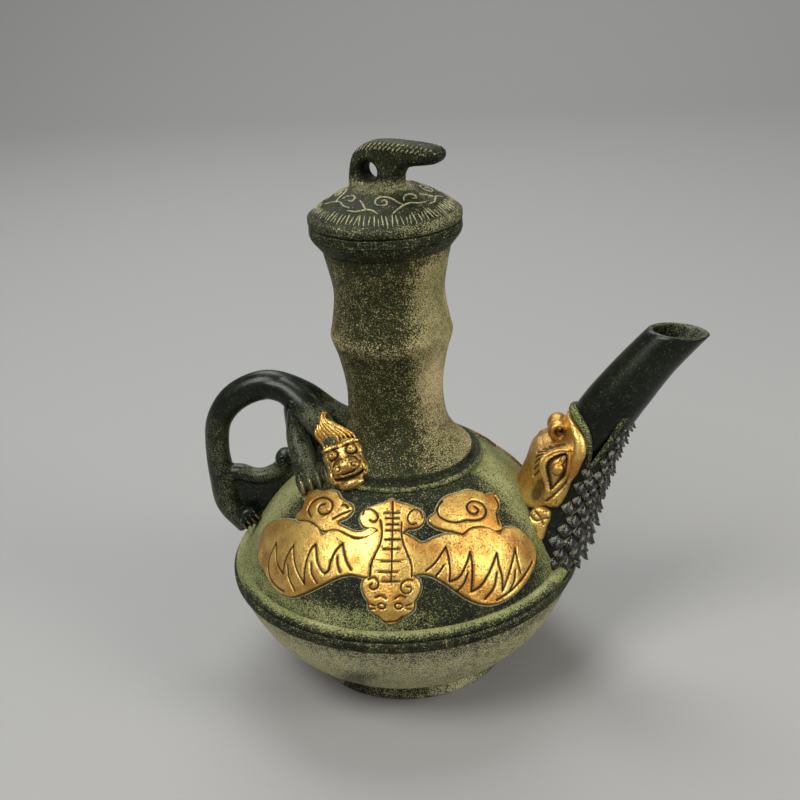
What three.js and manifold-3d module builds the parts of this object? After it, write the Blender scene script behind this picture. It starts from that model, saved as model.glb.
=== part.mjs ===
/**
 * Bronze wine flask with a lift-off lid, a dragon-fish spout and a beast handle.
 * Millimetres, +Z up. The flask stands on z = 0 with its axis on Z. The spout
 * points along +X, the handle along -X, and a gilt bat faces -Y and another +Y.
 */
import * as THREE from 'three';
import { mergeVertices } from 'three/addons/utils/BufferGeometryUtils.js';
import { TessellateModifier } from 'three/addons/modifiers/TessellateModifier.js';
import Module from 'manifold-3d';

const wasm = await Module();
wasm.setup();

// Joints and walls
const SEAM = 0.3; // solder line between neighbouring castings
const LID_PLAY = 0.4; // radial play of the lid's skirt in the mouth
const CAST_WALL = 2.2;

// Foot and base
const FOOT_RADIUS = 31;
const FOOT_TOP_RADIUS = 29;
const FOOT_HEIGHT = 4.2;
const FOOT_WALL = 4;
const BASE_RECESS = 1; // underside of the set-in base above the table
const BASE_THICKNESS = 2.4;

// Bowl, waist band and shoulder
const BAND_RADIUS = 54;
const BAND_HEIGHT = 2.9;
const BAND_PROUD = 0.8; // band beyond the walls above and below it
const BOWL_HEIGHT = 28.6;
const BOWL_FLARE = 16.5; // spread of the bowl's curve above the foot
const BOWL_FLARE_RISE = 6.3;
const RIM_WIDTH = 3.7; // flat edge of the shoulder inside the band
const RIM_RISE = 2.3;
const SHOULDER_HEIGHT = 32.2;
const SHOULDER_TOP_RADIUS = 25;
const SHOULDER_SPREAD = 16.5; // fullness of the shoulder's curve
const SHOULDER_DROP = 10.5;

// Collar, neck and mouth
const COLLAR_HEIGHT = 2.2;
const COLLAR_PROUD = 0.4;
const COLLAR_BEAD = 0.9; // collar's inner step beyond the foot of the neck
const NECK_FOOT_RADIUS = 22.4;
const NECK_FOOT_HEIGHT = 9; // flare above the collar
const NECK_WAIST_RADIUS = 14.3;
const NODE_RADIUS = 17.9; // swelling of the bamboo joint
const NODE_HEIGHT = 37.8;
const UPPER_WAIST_RADIUS = 16.1;
const NECK_TOP_RADIUS = 18.5;
const NECK_HEIGHT = 63.8;
const MOUTH_RADIUS = 21.7;
const MOUTH_HEIGHT = 6.6;
const MOUTH_ROUND = 1.3;

// Lid
const LID_RADIUS = 21.9;
const LID_EDGE = 2;
const LID_ROUND = 0.6;
const LID_RISE = 10.9;
const LID_WALL = 2.2;
const SKIRT_DEPTH = 7;
const SKIRT_WALL = 1.8;
const KNOB_REACH = 18.6; // beak beyond the lid's middle
const KNOB_RISE = 11.5; // back above the dome
const KNOB_HALF_WIDTH = 3.6;
const KNOB_BEVEL = 0.9;
const KNOB_EYE_RADIUS = 2.6;
const KNOB_TURN = THREE.MathUtils.degToRad(-16); // the knob's way when the lid is on

// Spout
const SPOUT_RADIUS = 7.4;
const SPOUT_WALL = 1.9;
const SPOUT_LIP_FALL = 0.2; // slope of the cut lip
const SPOUT_LIP_HEIGHT = 71.2; // lip above the waist band, at its middle
const SPOUT_LIP_REACH = 30.4; // lip beyond the waist band, at its middle
const THROAT_RADIUS = 9; // dragon's throat at its mouth
const FACE_THICKNESS = 1.3;
const SKIN_THICKNESS = 0.7;
const SCALE_ROWS = 7;
const SCALE_COLUMNS = 6;
const SCALE_LENGTH = 4.8;
const SCALE_WIDTH = 4.2;
const SCALE_DEPTH = 2;
const SCALE_LIFT = 0.3; // rise of a scale's free end along its length
const SCALE_FIRST = 0.12; // first and last row, as shares of the throat's length
const SCALE_LAST = 0.78;
const SCALE_ANGLE = 0.36; // radians between neighbours in a row
const EYE_LENGTH = 4.6;
const EYE_WIDTH = 2.8;
const EYE_REACH = -7.4;
const EYE_RISE = 31.2;
const EYE_OFFSET = 9.6;
const CURL_RADIUS = 2.9;
const CURL_WIRE = 1.3;
const CURL_REACH = -6.6;
const CURL_RISE = 42.9;
const CURL_OFFSET = 4.4;
const LIP_ROLL = 1.9; // gilt roll along the upper jaw

// Handle
const HANDLE_RISE = 56.3; // top of the loop's centre line above the waist band
const HANDLE_BAR = 4.2; // radius of the bar
const STRUT_SINK = 3; // strut's end inside the neck
const STRUT_RISE = 6.4; // strut's end above the foot of the neck
const WEB_HALF_WIDTH = 3.2;
const SCROLL_RADIUS = 2.7;
const SCROLL_HALF_WIDTH = 4.2;
const HEAD_LENGTH = 9.6; // half the beast's head, from crown to chin
const HEAD_PROUD = 2.2; // head's middle beyond the neck's waist
const HEAD_INSET = 8.9; // head's middle inside the foot of the neck
const HEAD_RISE = 4.2; // head's middle above the foot of the neck
const MANE_RADIUS = 4.4;
const MANE_SWELL = 1.2;
const FORELEG_RADIUS = 3.6;
const FORELEG_HEIGHT = 12.6; // chest end of the foreleg above its paw
const FOREPAW_SHARE = 0.97; // forepaw's place up the shoulder's curve
const FOREPAW_TURN = THREE.MathUtils.degToRad(36); // forepaw's place round the axis from the handle
const HIND_PAW_INSET = 5.2;
const HIND_PAW_OFFSET = 4.6;
const HIND_PAW_RISE = 7.4;
const TOE_RADIUS = 1.2;
const TOE_LENGTH = 2.8;

// Gilt panels
const PANEL_THICKNESS = 0.9;
const PANEL_FIELD = 40.7; // drawn height of the field that the panels lie in
const PANEL_FACET = 8.5;

// Facets
const BODY_FACETS = 34;
const NECK_FACETS = 26;
const HEAD_FACETS = 10;
const FEATURE_FACETS = 8;

// Levels, from the table up
const bowlBottom = FOOT_HEIGHT + SEAM;
const bowlTop = bowlBottom + BOWL_HEIGHT;
const bandBottom = bowlTop + SEAM;
const bandTop = bandBottom + BAND_HEIGHT;
const shoulderBottom = bandTop + SEAM;
const shoulderTop = shoulderBottom + SHOULDER_HEIGHT;
const collarBottom = shoulderTop + SEAM;
const neckBottom = collarBottom + COLLAR_HEIGHT + SEAM;
const neckTop = neckBottom + NECK_HEIGHT;
const mouthBottom = neckTop + SEAM;
const mouthTop = mouthBottom + MOUTH_HEIGHT;
const lidBottom = mouthTop + SEAM;
const wallRadius = BAND_RADIUS - BAND_PROUD;
const mouthBore = NECK_TOP_RADIUS - CAST_WALL;
const skirtRadius = mouthBore - LID_PLAY;

const finish = (color, roughness, metalness) =>
  new THREE.MeshStandardMaterial({ color, roughness, metalness });
const PATINA = finish(0x4a4f3a, 0.6, 0.7);
const DARK_BRONZE = finish(0x20241f, 0.42, 0.8);
const GILT = finish(0xc98a2c, 0.33, 1);

const flask = new THREE.Group();
flask.name = 'bronze_wine_flask';

const vec2 = ([x, y]) => new THREE.Vector2(x, y);

/** Closed geometry as a manifold solid, with doubled points merged and empty facets dropped. */
function solid(geometry) {
  geometry.deleteAttribute('normal');
  geometry.deleteAttribute('uv');
  const merged = mergeVertices(geometry, 1e-4);
  const index = merged.index.array;
  const kept = [];
  for (let i = 0; i < index.length; i += 3) {
    const [a, b, c] = [index[i], index[i + 1], index[i + 2]];
    if (a !== b && b !== c && c !== a) {
      kept.push(a, b, c);
    }
  }
  const vertProperties = new Float32Array(merged.attributes.position.array);
  return new wasm.Manifold(new wasm.Mesh({ numProp: 3, vertProperties, triVerts: new Uint32Array(kept) }));
}

/** Adds a solid to the flask as a named mesh. */
function place(name, body, material) {
  const { vertProperties, triVerts } = body.getMesh();
  const geometry = new THREE.BufferGeometry();
  geometry.setAttribute('position', new THREE.BufferAttribute(vertProperties, 3));
  geometry.setIndex(new THREE.BufferAttribute(triVerts, 1));
  geometry.computeVertexNormals();
  const mesh = new THREE.Mesh(geometry, material);
  mesh.name = name;
  flask.add(mesh);
}

/** Result of one join or cut, worked out at once; an empty one is a mistake in the sizes. */
function worked(body) {
  if (body.isEmpty()) {
    throw new Error('a cut left nothing of a solid');
  }
  return body;
}

const join = (bodies) => bodies.reduce((whole, body) => worked(whole.add(body)));
const cut = (body, tools) => tools.reduce((rest, tool) => worked(rest.subtract(tool)), body);
const common = (body, field) => worked(body.intersect(field));

/** Profile of [radius, height] points turned round Z; closed on itself or on the axis. */
function turned(profile, facets) {
  const points = profile.map(vec2);
  return solid(new THREE.LatheGeometry(points, facets).rotateX(Math.PI / 2));
}

/** Outward unit normals of an upward profile of [radius, height] points. */
function profileNormals(profile) {
  return profile.map((_, i) => {
    const before = vec2(profile[Math.max(i - 1, 0)]);
    const along = vec2(profile[Math.min(i + 1, profile.length - 1)]).sub(before).normalize();
    return [along.y, -along.x];
  });
}

const offsetProfile = (profile, distance) => {
  const normals = profileNormals(profile);
  return profile.map(([r, z], i) => [r + normals[i][0] * distance, z + normals[i][1] * distance]);
};

/** Profile points of a curve in the [radius, height] plane. */
const curvePoints = (curve, divisions) => curve.getPoints(divisions).map((p) => [p.x, p.y]);
const bend = (from, through, to, divisions) =>
  curvePoints(new THREE.QuadraticBezierCurve(vec2(from), vec2(through), vec2(to)), divisions);

/** Inside of an upward profile, a wall's thickness in, on every other point and with level ends. */
function innerProfile(profile, wall) {
  const last = profile.length - 1;
  return offsetProfile(profile, -wall)
    .map(([r, z], i) => (i === 0 || i === last ? [profile[i][0] - wall, profile[i][1]] : [r, z]))
    .filter((_, i) => i % 2 === 0 || i === last);
}

/** Wall of even thickness inside an upward profile, with level ends. */
function turnedWall(profile, wall, facets) {
  return turned([...profile, ...innerProfile(profile, wall).reverse(), profile[0]], facets);
}

/** Curves through [x, y, z, inPlaneRadius, crossRadius] stations; the cross way follows Y. */
function sweepCurves(stations) {
  return {
    spine: new THREE.CatmullRomCurve3(stations.map(([x, y, z]) => new THREE.Vector3(x, y, z))),
    girth: new THREE.CatmullRomCurve3(stations.map((s) => new THREE.Vector3(s[3], s[4], 0))),
  };
}

/** Point and outward way on a sweep, at a share of its length and an angle from its outer side. */
function sweepPoint({ spine, girth }, share, angle, grow = 0) {
  const tangent = spine.getTangent(share);
  const radii = girth.getPoint(share);
  const cross = new THREE.Vector3(0, 1, 0).addScaledVector(tangent, -tangent.y).normalize();
  const inPlane = new THREE.Vector3().crossVectors(cross, tangent);
  const outward = inPlane.clone().multiplyScalar((radii.x + grow) * Math.cos(angle));
  outward.addScaledVector(cross, (radii.y + grow) * Math.sin(angle));
  const point = spine.getPoint(share).add(outward);
  return { point, outward: outward.normalize(), tangent };
}

/** Closed solid along the stations, grown or shrunk all round by an amount. */
function sweep(stations, { steps, sides, grow = 0 }) {
  const curves = sweepCurves(stations);
  const points = [];
  const faces = [];
  for (let i = 0; i <= steps; i += 1) {
    for (let j = 0; j < sides; j += 1) {
      points.push(sweepPoint(curves, i / steps, (2 * Math.PI * j) / sides, grow).point);
    }
  }
  for (let i = 0; i < steps; i += 1) {
    for (let j = 0; j < sides; j += 1) {
      const [a, b] = [i * sides + j, i * sides + ((j + 1) % sides)];
      faces.push(a, b, b + sides, a, b + sides, a + sides);
    }
  }
  const end = steps * sides;
  for (let j = 1; j < sides - 1; j += 1) {
    faces.push(0, j + 1, j, end, end + j, end + j + 1);
  }
  const geometry = new THREE.BufferGeometry().setFromPoints(points);
  geometry.setIndex(faces);
  return solid(geometry);
}

/** Plate with an outline of [x, z] points, centred across the flask's mid-plane. */
function plate(outline, halfWidth) {
  const geometry = new THREE.ExtrudeGeometry(new THREE.Shape(outline.map(vec2)), {
    depth: 2 * halfWidth,
    bevelEnabled: false,
  });
  return solid(geometry.translate(0, 0, -halfWidth).rotateX(Math.PI / 2));
}

/** Ball stretched to three half-lengths, its long way turned to a direction. */
function ellipsoid(centre, halves, direction, facets) {
  const geometry = new THREE.SphereGeometry(1, facets, facets / 2).scale(...halves);
  const longWay = new THREE.Vector3(1, 0, 0);
  const turn = new THREE.Quaternion().setFromUnitVectors(longWay, direction.clone().normalize());
  return solid(geometry.applyQuaternion(turn).translate(...centre));
}

// Wall profiles, each from the bottom up
const bowlOuter = bend(
  [FOOT_TOP_RADIUS, bowlBottom],
  [FOOT_TOP_RADIUS + BOWL_FLARE, bowlBottom + BOWL_FLARE_RISE],
  [wallRadius, bowlTop],
  8,
);
const rimEdge = [
  [wallRadius, shoulderBottom],
  [wallRadius - RIM_WIDTH / 2, shoulderBottom + RIM_RISE * 0.62],
];
const shoulderCurve = bend(
  [wallRadius - RIM_WIDTH, shoulderBottom + RIM_RISE],
  [SHOULDER_TOP_RADIUS + SHOULDER_SPREAD, shoulderTop - SHOULDER_DROP],
  [SHOULDER_TOP_RADIUS, shoulderTop],
  8,
);
const shoulderOuter = [...rimEdge, ...shoulderCurve];
const neckShape = [
  [NECK_FOOT_RADIUS, 0],
  [(NECK_FOOT_RADIUS + NECK_WAIST_RADIUS) / 2, NECK_FOOT_HEIGHT * 0.455],
  [NECK_WAIST_RADIUS * 1.084, NECK_FOOT_HEIGHT],
  [NECK_WAIST_RADIUS, NODE_HEIGHT / 2],
  [(NECK_WAIST_RADIUS + NODE_RADIUS) / 2, NODE_HEIGHT * 0.815],
  [NODE_RADIUS, NODE_HEIGHT],
  [(NODE_RADIUS + UPPER_WAIST_RADIUS) / 2, NODE_HEIGHT * 1.132],
  [UPPER_WAIST_RADIUS, (NODE_HEIGHT + NECK_HEIGHT) / 2],
  [NECK_TOP_RADIUS, NECK_HEIGHT],
].map(([r, h]) => vec2([r, neckBottom + h]));
const neckOuter = curvePoints(new THREE.SplineCurve(neckShape), 12);
const collarOuter = [
  [SHOULDER_TOP_RADIUS + COLLAR_PROUD, collarBottom],
  [SHOULDER_TOP_RADIUS + COLLAR_PROUD, collarBottom + COLLAR_HEIGHT * 0.45],
  [NECK_FOOT_RADIUS + COLLAR_BEAD, collarBottom + COLLAR_HEIGHT * 0.65],
  [NECK_FOOT_RADIUS + COLLAR_PROUD, collarBottom + COLLAR_HEIGHT],
];
const mouthOuter = [
  [NECK_TOP_RADIUS + COLLAR_PROUD, mouthBottom],
  [MOUTH_RADIUS - MOUTH_ROUND, mouthBottom + MOUTH_HEIGHT * 0.25],
  [MOUTH_RADIUS, mouthBottom + MOUTH_HEIGHT * 0.55],
  [MOUTH_RADIUS, mouthTop],
];
const bandOuter = [
  [BAND_RADIUS, bandBottom],
  [BAND_RADIUS, bandTop],
];

// The whole outside grown by a solder line, for seating what stands on it
const bandSeat = BAND_RADIUS + SEAM;
const seat = turned(
  [
    [0, bowlBottom - SEAM],
    ...offsetProfile(bowlOuter, SEAM).slice(0, -1),
    [bandSeat, bowlTop],
    [bandSeat, shoulderBottom],
    ...offsetProfile(shoulderOuter, SEAM).slice(1),
    ...offsetProfile(collarOuter, SEAM),
    ...offsetProfile(neckOuter, SEAM),
    ...offsetProfile(mouthOuter, SEAM),
    [0, mouthTop + SEAM],
  ],
  BODY_FACETS,
);

// Spout and dragon, drawn as shares of the lip's reach beyond the waist band and its height above it
const alongSpout = ([reach, height]) => [
  BAND_RADIUS + reach * SPOUT_LIP_REACH,
  bandTop + height * SPOUT_LIP_HEIGHT,
];

/** Station of a sweep on the mid-plane; its in-plane and cross radii are shares of a radius. */
const station = (radius) => ([reach, height, inPlane, cross]) => {
  const [x, z] = alongSpout([reach, height]);
  return [x, 0, z, inPlane * radius, cross * radius];
};
const spoutStations = [
  [-0.625, -0.028, 1, 1],
  [-0.345, 0.115, 1, 1],
  [-0.132, 0.295, 1, 1],
  [0.049, 0.463, 1.05, 1.03],
  [0.247, 0.618, 1.11, 1.05],
  [0.474, 0.758, 1.04, 1],
  [0.737, 0.895, 0.93, 0.92],
  [1.086, 1.046, 0.89, 0.89],
].map(station(SPOUT_RADIUS));
const throatStations = [
  [-0.447, -0.028, 1.58, 2.22],
  [-0.283, 0.143, 1.47, 1.78],
  [-0.132, 0.317, 1.29, 1.33],
  [-0.013, 0.435, 1.2, 1.11],
  [0.138, 0.555, 1.07, 1.01],
  [0.296, 0.677, 1, 0.967],
].map(station(THROAT_RADIUS));
const SPOUT_GRID = { steps: 12, sides: 12 };
const THROAT_GRID = { steps: 7, sides: 16 };
const spoutSeat = sweep(spoutStations, { ...SPOUT_GRID, grow: SEAM });
const spoutBore = sweep(spoutStations, { ...SPOUT_GRID, grow: -SPOUT_WALL });

const beyond = (from, to, reach) => from.map((value, i) => value + (to[i] - value) * reach);
const FAR = 4; // shares well clear of the spout
const CLEAR = FAR * BAND_RADIUS;
const lipSlope = (reach) => 1 - (SPOUT_LIP_FALL * SPOUT_LIP_REACH * (reach - 1)) / SPOUT_LIP_HEIGHT;
const field = (outline) => plate(outline.map(alongSpout), CLEAR);
const aboveLip = field([[-FAR, lipSlope(-FAR)], [FAR, lipSlope(FAR)], [FAR, 2 * FAR], [-FAR, 2 * FAR]]);

// Lines that part the head
const jawCorner = [0.112, 0.435];
const upperLip = [-0.046, 0.695];
const lowerLip = [0.586, 0.625];
const cheek = [-0.178, 0.281];
const temple = [-0.033, 0.463];
const skinCorner = [-0.138, 0.253];
const skinFoot = [-0.428, -0.062];
const throatFoot = -0.07; // level end of the throat, on the bowl below the band
const gillTop = cheek[1] - SEAM / SPOUT_LIP_HEIGHT;
const openJaw = field([jawCorner, beyond(jawCorner, lowerLip, 3), beyond(jawCorner, upperLip, 3)]);
const faceField = field([cheek, temple, [temple[0] + 0.016, FAR], [-FAR, FAR], [-FAR, cheek[1]]]);
const skinField = field([skinFoot, [FAR, skinFoot[1]], [FAR, FAR], jawCorner, skinCorner]);
const underThroat = field([[-FAR, throatFoot], [-FAR, -FAR], [FAR, -FAR], [FAR, throatFoot]]);
const gillField = field([
  [-0.477, gillTop],
  [-0.477, 0.225],
  [-0.411, 0.183],
  [-0.316, 0.118],
  [-0.27, 0.205],
  [-0.23, gillTop],
]);

const throatGrown = (grow) => sweep(throatStations, { ...THROAT_GRID, grow });
const throatSeat = throatGrown(SEAM);
const faceOutside = throatGrown(SEAM + FACE_THICKNESS);
const faceSeat = throatGrown(2 * SEAM + FACE_THICKNESS);

place('spout_tube', cut(sweep(spoutStations, SPOUT_GRID), [spoutBore, seat, aboveLip]), DARK_BRONZE);
place('dragon_throat', cut(throatGrown(0), [spoutSeat, seat, openJaw, underThroat]), DARK_BRONZE);
place('dragon_face', cut(common(faceOutside, faceField), [throatSeat, spoutSeat, seat, openJaw]), GILT);

/** One pointed scale on the throat, its free end down towards the foot and lifted off the skin. */
function throatScale(share, angle) {
  const curves = sweepCurves(throatStations);
  const { point, outward, tangent } = sweepPoint(curves, share, angle, SEAM + SKIN_THICKNESS);
  const pointing = tangent.clone().multiplyScalar(-1).addScaledVector(outward, SCALE_LIFT).normalize();
  const across = new THREE.Vector3().crossVectors(pointing, outward).normalize();
  const facing = new THREE.Vector3().crossVectors(across, pointing);
  const geometry = new THREE.ConeGeometry(SCALE_WIDTH / 2, SCALE_LENGTH, 4);
  geometry.scale(1, 1, SCALE_DEPTH / SCALE_WIDTH);
  geometry.applyMatrix4(new THREE.Matrix4().makeBasis(across, pointing, facing).setPosition(point));
  return solid(geometry);
}

const scales = [];
for (let row = 0; row < SCALE_ROWS; row += 1) {
  const share = SCALE_FIRST + (SCALE_LAST - SCALE_FIRST) * (row / (SCALE_ROWS - 1));
  for (let column = 0; column < SCALE_COLUMNS; column += 1) {
    const step = column - (SCALE_COLUMNS - 1) / 2 + (row % 2 ? 0.25 : -0.25);
    scales.push(throatScale(share, step * SCALE_ANGLE));
  }
}
const skin = join([throatGrown(SEAM + SKIN_THICKNESS), ...scales]);
const skinCuts = [throatSeat, spoutSeat, seat, openJaw, common(faceSeat, faceField), gillField];
place('throat_scales', cut(common(skin, skinField), skinCuts), DARK_BRONZE);

const eyeGrown = (way, grow) =>
  ellipsoid(
    [BAND_RADIUS + EYE_REACH, way * EYE_OFFSET, bandTop + EYE_RISE],
    [EYE_LENGTH + grow, EYE_WIDTH + grow, EYE_WIDTH + grow],
    new THREE.Vector3(0.25, 0, 1),
    12,
  );
const curlGrown = (way, grow) => {
  const curl = new THREE.TorusGeometry(CURL_RADIUS - CURL_WIRE, CURL_WIRE + grow, 6, 12).rotateX(Math.PI / 2);
  return solid(curl.translate(BAND_RADIUS + CURL_REACH, way * CURL_OFFSET, bandTop + CURL_RISE));
};
for (const [side, way] of [['front', -1], ['back', 1]]) {
  const here = solid(new THREE.BoxGeometry(2 * CLEAR, CLEAR, 2 * CLEAR).translate(0, (way * CLEAR) / 2, 0));
  const gill = common(common(faceOutside, gillField), here);
  place(`gill_leaf_${side}`, cut(gill, [throatSeat, seat]), GILT);
  place(`dragon_eye_${side}`, cut(eyeGrown(way, 0), [faceSeat]), GILT);
  place(`nostril_curl_${side}`, cut(curlGrown(way, 0), [faceSeat]), GILT);
  const lipStations = [
    [-0.099, 0.6, 0.657],
    [-0.026, 0.956, 0.57],
    [-0.046, 1.156, 0.463],
    [-0.118, 1.289, 0.371],
  ].map(([reach, across, height]) => {
    const [x, z] = alongSpout([reach, height]);
    return [x, way * across * THROAT_RADIUS, z, LIP_ROLL, LIP_ROLL];
  });
  const lipRoll = sweep(lipStations, { steps: 6, sides: 8 });
  const lipCuts = [faceSeat, openJaw, eyeGrown(way, SEAM), curlGrown(way, SEAM)];
  place(`upper_lip_${side}`, cut(lipRoll, lipCuts), GILT);
}

// Foot, bowl, band, shoulder, neck and mouth
const baseTop = BASE_RECESS + BASE_THICKNESS;
const footOuter = [
  [FOOT_RADIUS, 0],
  [FOOT_RADIUS, FOOT_HEIGHT * 0.4],
  [FOOT_TOP_RADIUS, FOOT_HEIGHT],
];
const footBore = FOOT_TOP_RADIUS - FOOT_WALL;
place('foot_ring', turned(
  [...footOuter, [footBore, FOOT_HEIGHT], [footBore, 0], footOuter[0]],
  BODY_FACETS,
), PATINA);
place('base_plate', turned(
  [
    [0, BASE_RECESS],
    [footBore - SEAM, BASE_RECESS],
    [footBore - SEAM, baseTop],
    [0, baseTop],
  ],
  BODY_FACETS,
), PATINA);
place('lower_bowl', turned(
  [
    [0, bowlBottom],
    ...bowlOuter,
    ...innerProfile(bowlOuter, CAST_WALL).reverse(),
    [0, bowlBottom + CAST_WALL],
  ],
  BODY_FACETS,
), PATINA);
place('waist_band', turnedWall(bandOuter, BAND_PROUD + CAST_WALL, BODY_FACETS), DARK_BRONZE);
place('shoulder', cut(turnedWall(shoulderOuter, CAST_WALL, BODY_FACETS), [spoutBore]), PATINA);
const neckBore = NECK_FOOT_RADIUS - CAST_WALL;
place('neck_collar', turned(
  [...collarOuter, [neckBore, neckBottom - SEAM], [neckBore, collarBottom], collarOuter[0]],
  BODY_FACETS,
), DARK_BRONZE);
place('neck', turnedWall(neckOuter, CAST_WALL, NECK_FACETS), PATINA);
place('mouth_rim', turned(
  [...mouthOuter, [mouthBore, mouthTop], [mouthBore, mouthBottom], mouthOuter[0]],
  NECK_FACETS,
), DARK_BRONZE);

// Lid
const domeEdge = lidBottom + LID_EDGE;
const domeTop = lidBottom + LID_RISE;
const domeOuter = bend([LID_RADIUS, domeEdge], [LID_RADIUS * 0.52, domeTop - LID_ROUND], [0, domeTop], 7);
const skirtBore = skirtRadius - SKIRT_WALL;
const domeCeiling = domeTop - LID_WALL;
const domeInner = bend([skirtBore, domeEdge], [skirtBore * 0.6, domeCeiling], [0, domeCeiling], 3);
const dome = [[LID_RADIUS - LID_ROUND, lidBottom], [LID_RADIUS, lidBottom + LID_ROUND], ...domeOuter];
place('lid_dome', turned(
  [...dome, ...domeInner.reverse(), [skirtBore, lidBottom], dome[0]],
  NECK_FACETS,
), PATINA);
place('lid_skirt', turned(
  [
    [skirtRadius, lidBottom - SEAM - SKIRT_DEPTH],
    [skirtRadius, lidBottom - SEAM],
    [skirtBore, lidBottom - SEAM],
    [skirtBore, lidBottom - SEAM - SKIRT_DEPTH],
    [skirtRadius, lidBottom - SEAM - SKIRT_DEPTH],
  ],
  NECK_FACETS,
), PATINA);

const domeSeat = turned(
  [[0, lidBottom], ...offsetProfile(dome.slice(0, -1), SEAM), [0, domeTop + SEAM]],
  NECK_FACETS,
);
// Knob, drawn as shares of its reach and rise
const onKnob = ([reach, rise]) => vec2([reach * KNOB_REACH, rise * KNOB_RISE]);
const knobBack = [
  [-0.516, 0.261], [-0.409, 0.704], [-0.199, 0.93], [0.065, 1], [0.43, 0.983], [0.892, 0.87],
];
const knobFront = [
  [1, 0.713], [0.946, 0.557], [0.565, 0.435], [0.376, 0.313], [0.323, 0.035], [0.344, -0.348],
];
const knobEye = onKnob([-0.156, 0.252]);
const knobShape = new THREE.Shape();
knobShape.moveTo(...onKnob([-0.559, -0.348]).toArray());
knobShape.splineThru(knobBack.map(onKnob));
knobShape.splineThru(knobFront.map(onKnob));
knobShape.closePath();
const eyeHole = new THREE.Path();
eyeHole.absarc(knobEye.x, knobEye.y, KNOB_EYE_RADIUS + KNOB_BEVEL, 0, 2 * Math.PI, false);
knobShape.holes.push(eyeHole);
const knob = new THREE.ExtrudeGeometry(knobShape, {
  depth: 2 * (KNOB_HALF_WIDTH - KNOB_BEVEL),
  curveSegments: 2,
  bevelThickness: KNOB_BEVEL,
  bevelSize: KNOB_BEVEL,
  bevelOffset: -KNOB_BEVEL,
  bevelSegments: 1,
});
knob.translate(0, 0, KNOB_BEVEL - KNOB_HALF_WIDTH).rotateX(Math.PI / 2);
knob.translate(0, 0, domeTop).rotateZ(KNOB_TURN);
place('lid_knob', cut(solid(knob), [domeSeat]), PATINA);

// Handle, drawn as shares of its span from the waist band in to the neck and of its rise above the band
const handleSpan = BAND_RADIUS - NECK_WAIST_RADIUS;
const alongHandle = ([reach, height]) => [-BAND_RADIUS - reach * handleSpan, bandTop + height * HANDLE_RISE];

/** Station of the handle's sweeps; offset and radii are shares of the bar's radius. */
const onHandle = ([reach, across, height, inPlane, cross]) => {
  const [x, z] = alongHandle([reach, height]);
  return [x, across * HANDLE_BAR, z, inPlane * HANDLE_BAR, cross * HANDLE_BAR];
};
const strutRoot = [STRUT_SINK - NECK_WAIST_RADIUS, 0, neckBottom + STRUT_RISE, HANDLE_BAR, HANDLE_BAR * 0.95];
const loopStations = [
  strutRoot,
  ...[
    [-0.869, 0, 0.828, 1, 0.95],
    [-0.655, 0, 0.938, 1.1, 1],
    [-0.39, 0, 1, 1.1, 1],
    [-0.139, 0, 0.936, 1.05, 0.98],
    [0.015, 0, 0.803, 0.93, 0.93],
    [0.058, 0, 0.634, 0.88, 0.9],
    [0.045, 0, 0.448, 0.98, 1],
    [0.015, 0, 0.279, 1.1, 1.1],
    [-0.113, 0, 0.124, 1.14, 1.14],
  ].map(onHandle),
];
const chestStations = [
  [-0.617, 0, 0.959, 0.95, 0.95],
  [-0.61, 0, 0.847, 1.1, 1.19],
  [-0.615, 0, 0.705, 1.05, 1.24],
  [-0.622, 0, 0.563, 1, 1.24],
  [-0.63, 0, 0.391, 0.95, 1.24],
].map(onHandle);
const LOOP_GRID = { steps: 18, sides: 8 };
const CHEST_GRID = { steps: 5, sides: 8 };
const web = [
  [-0.025, 0.231], [0.025, 0.515], [-0.05, 0.581], [-0.136, 0.533], [-0.227, 0.506], [-0.302, 0.504],
  [-0.368, 0.52], [-0.393, 0.563], [-0.453, 0.607], [-0.529, 0.625], [-0.605, 0.533], [-0.605, 0.391],
  [-0.227, 0.142],
].map(alongHandle);
const [scrollX, scrollZ] = alongHandle([-0.443, 0.568]);
const handleGrown = (grow) => {
  const radius = SCROLL_RADIUS + grow;
  const scroll = new THREE.CylinderGeometry(radius, radius, 2 * (SCROLL_HALF_WIDTH + grow), 12);
  scroll.translate(scrollX, 0, scrollZ);
  return join([
    sweep(loopStations, { ...LOOP_GRID, grow }),
    sweep(chestStations, { ...CHEST_GRID, grow }),
    plate(web, WEB_HALF_WIDTH + grow),
    solid(scroll),
  ]);
};
place('handle_loop', cut(handleGrown(0), [seat]), DARK_BRONZE);

const handleSeat = handleGrown(SEAM);
const headCentre = new THREE.Vector3(
  -NECK_WAIST_RADIUS - HEAD_PROUD,
  HEAD_INSET - NECK_FOOT_RADIUS,
  neckBottom + HEAD_RISE,
);
const chinWay = new THREE.Vector3(0.28, -0.69, -0.67).normalize();
const faceWay = new THREE.Vector3(-0.35, -0.75, 0.56).normalize();
const cheekWay = new THREE.Vector3().crossVectors(chinWay, faceWay);

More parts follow.
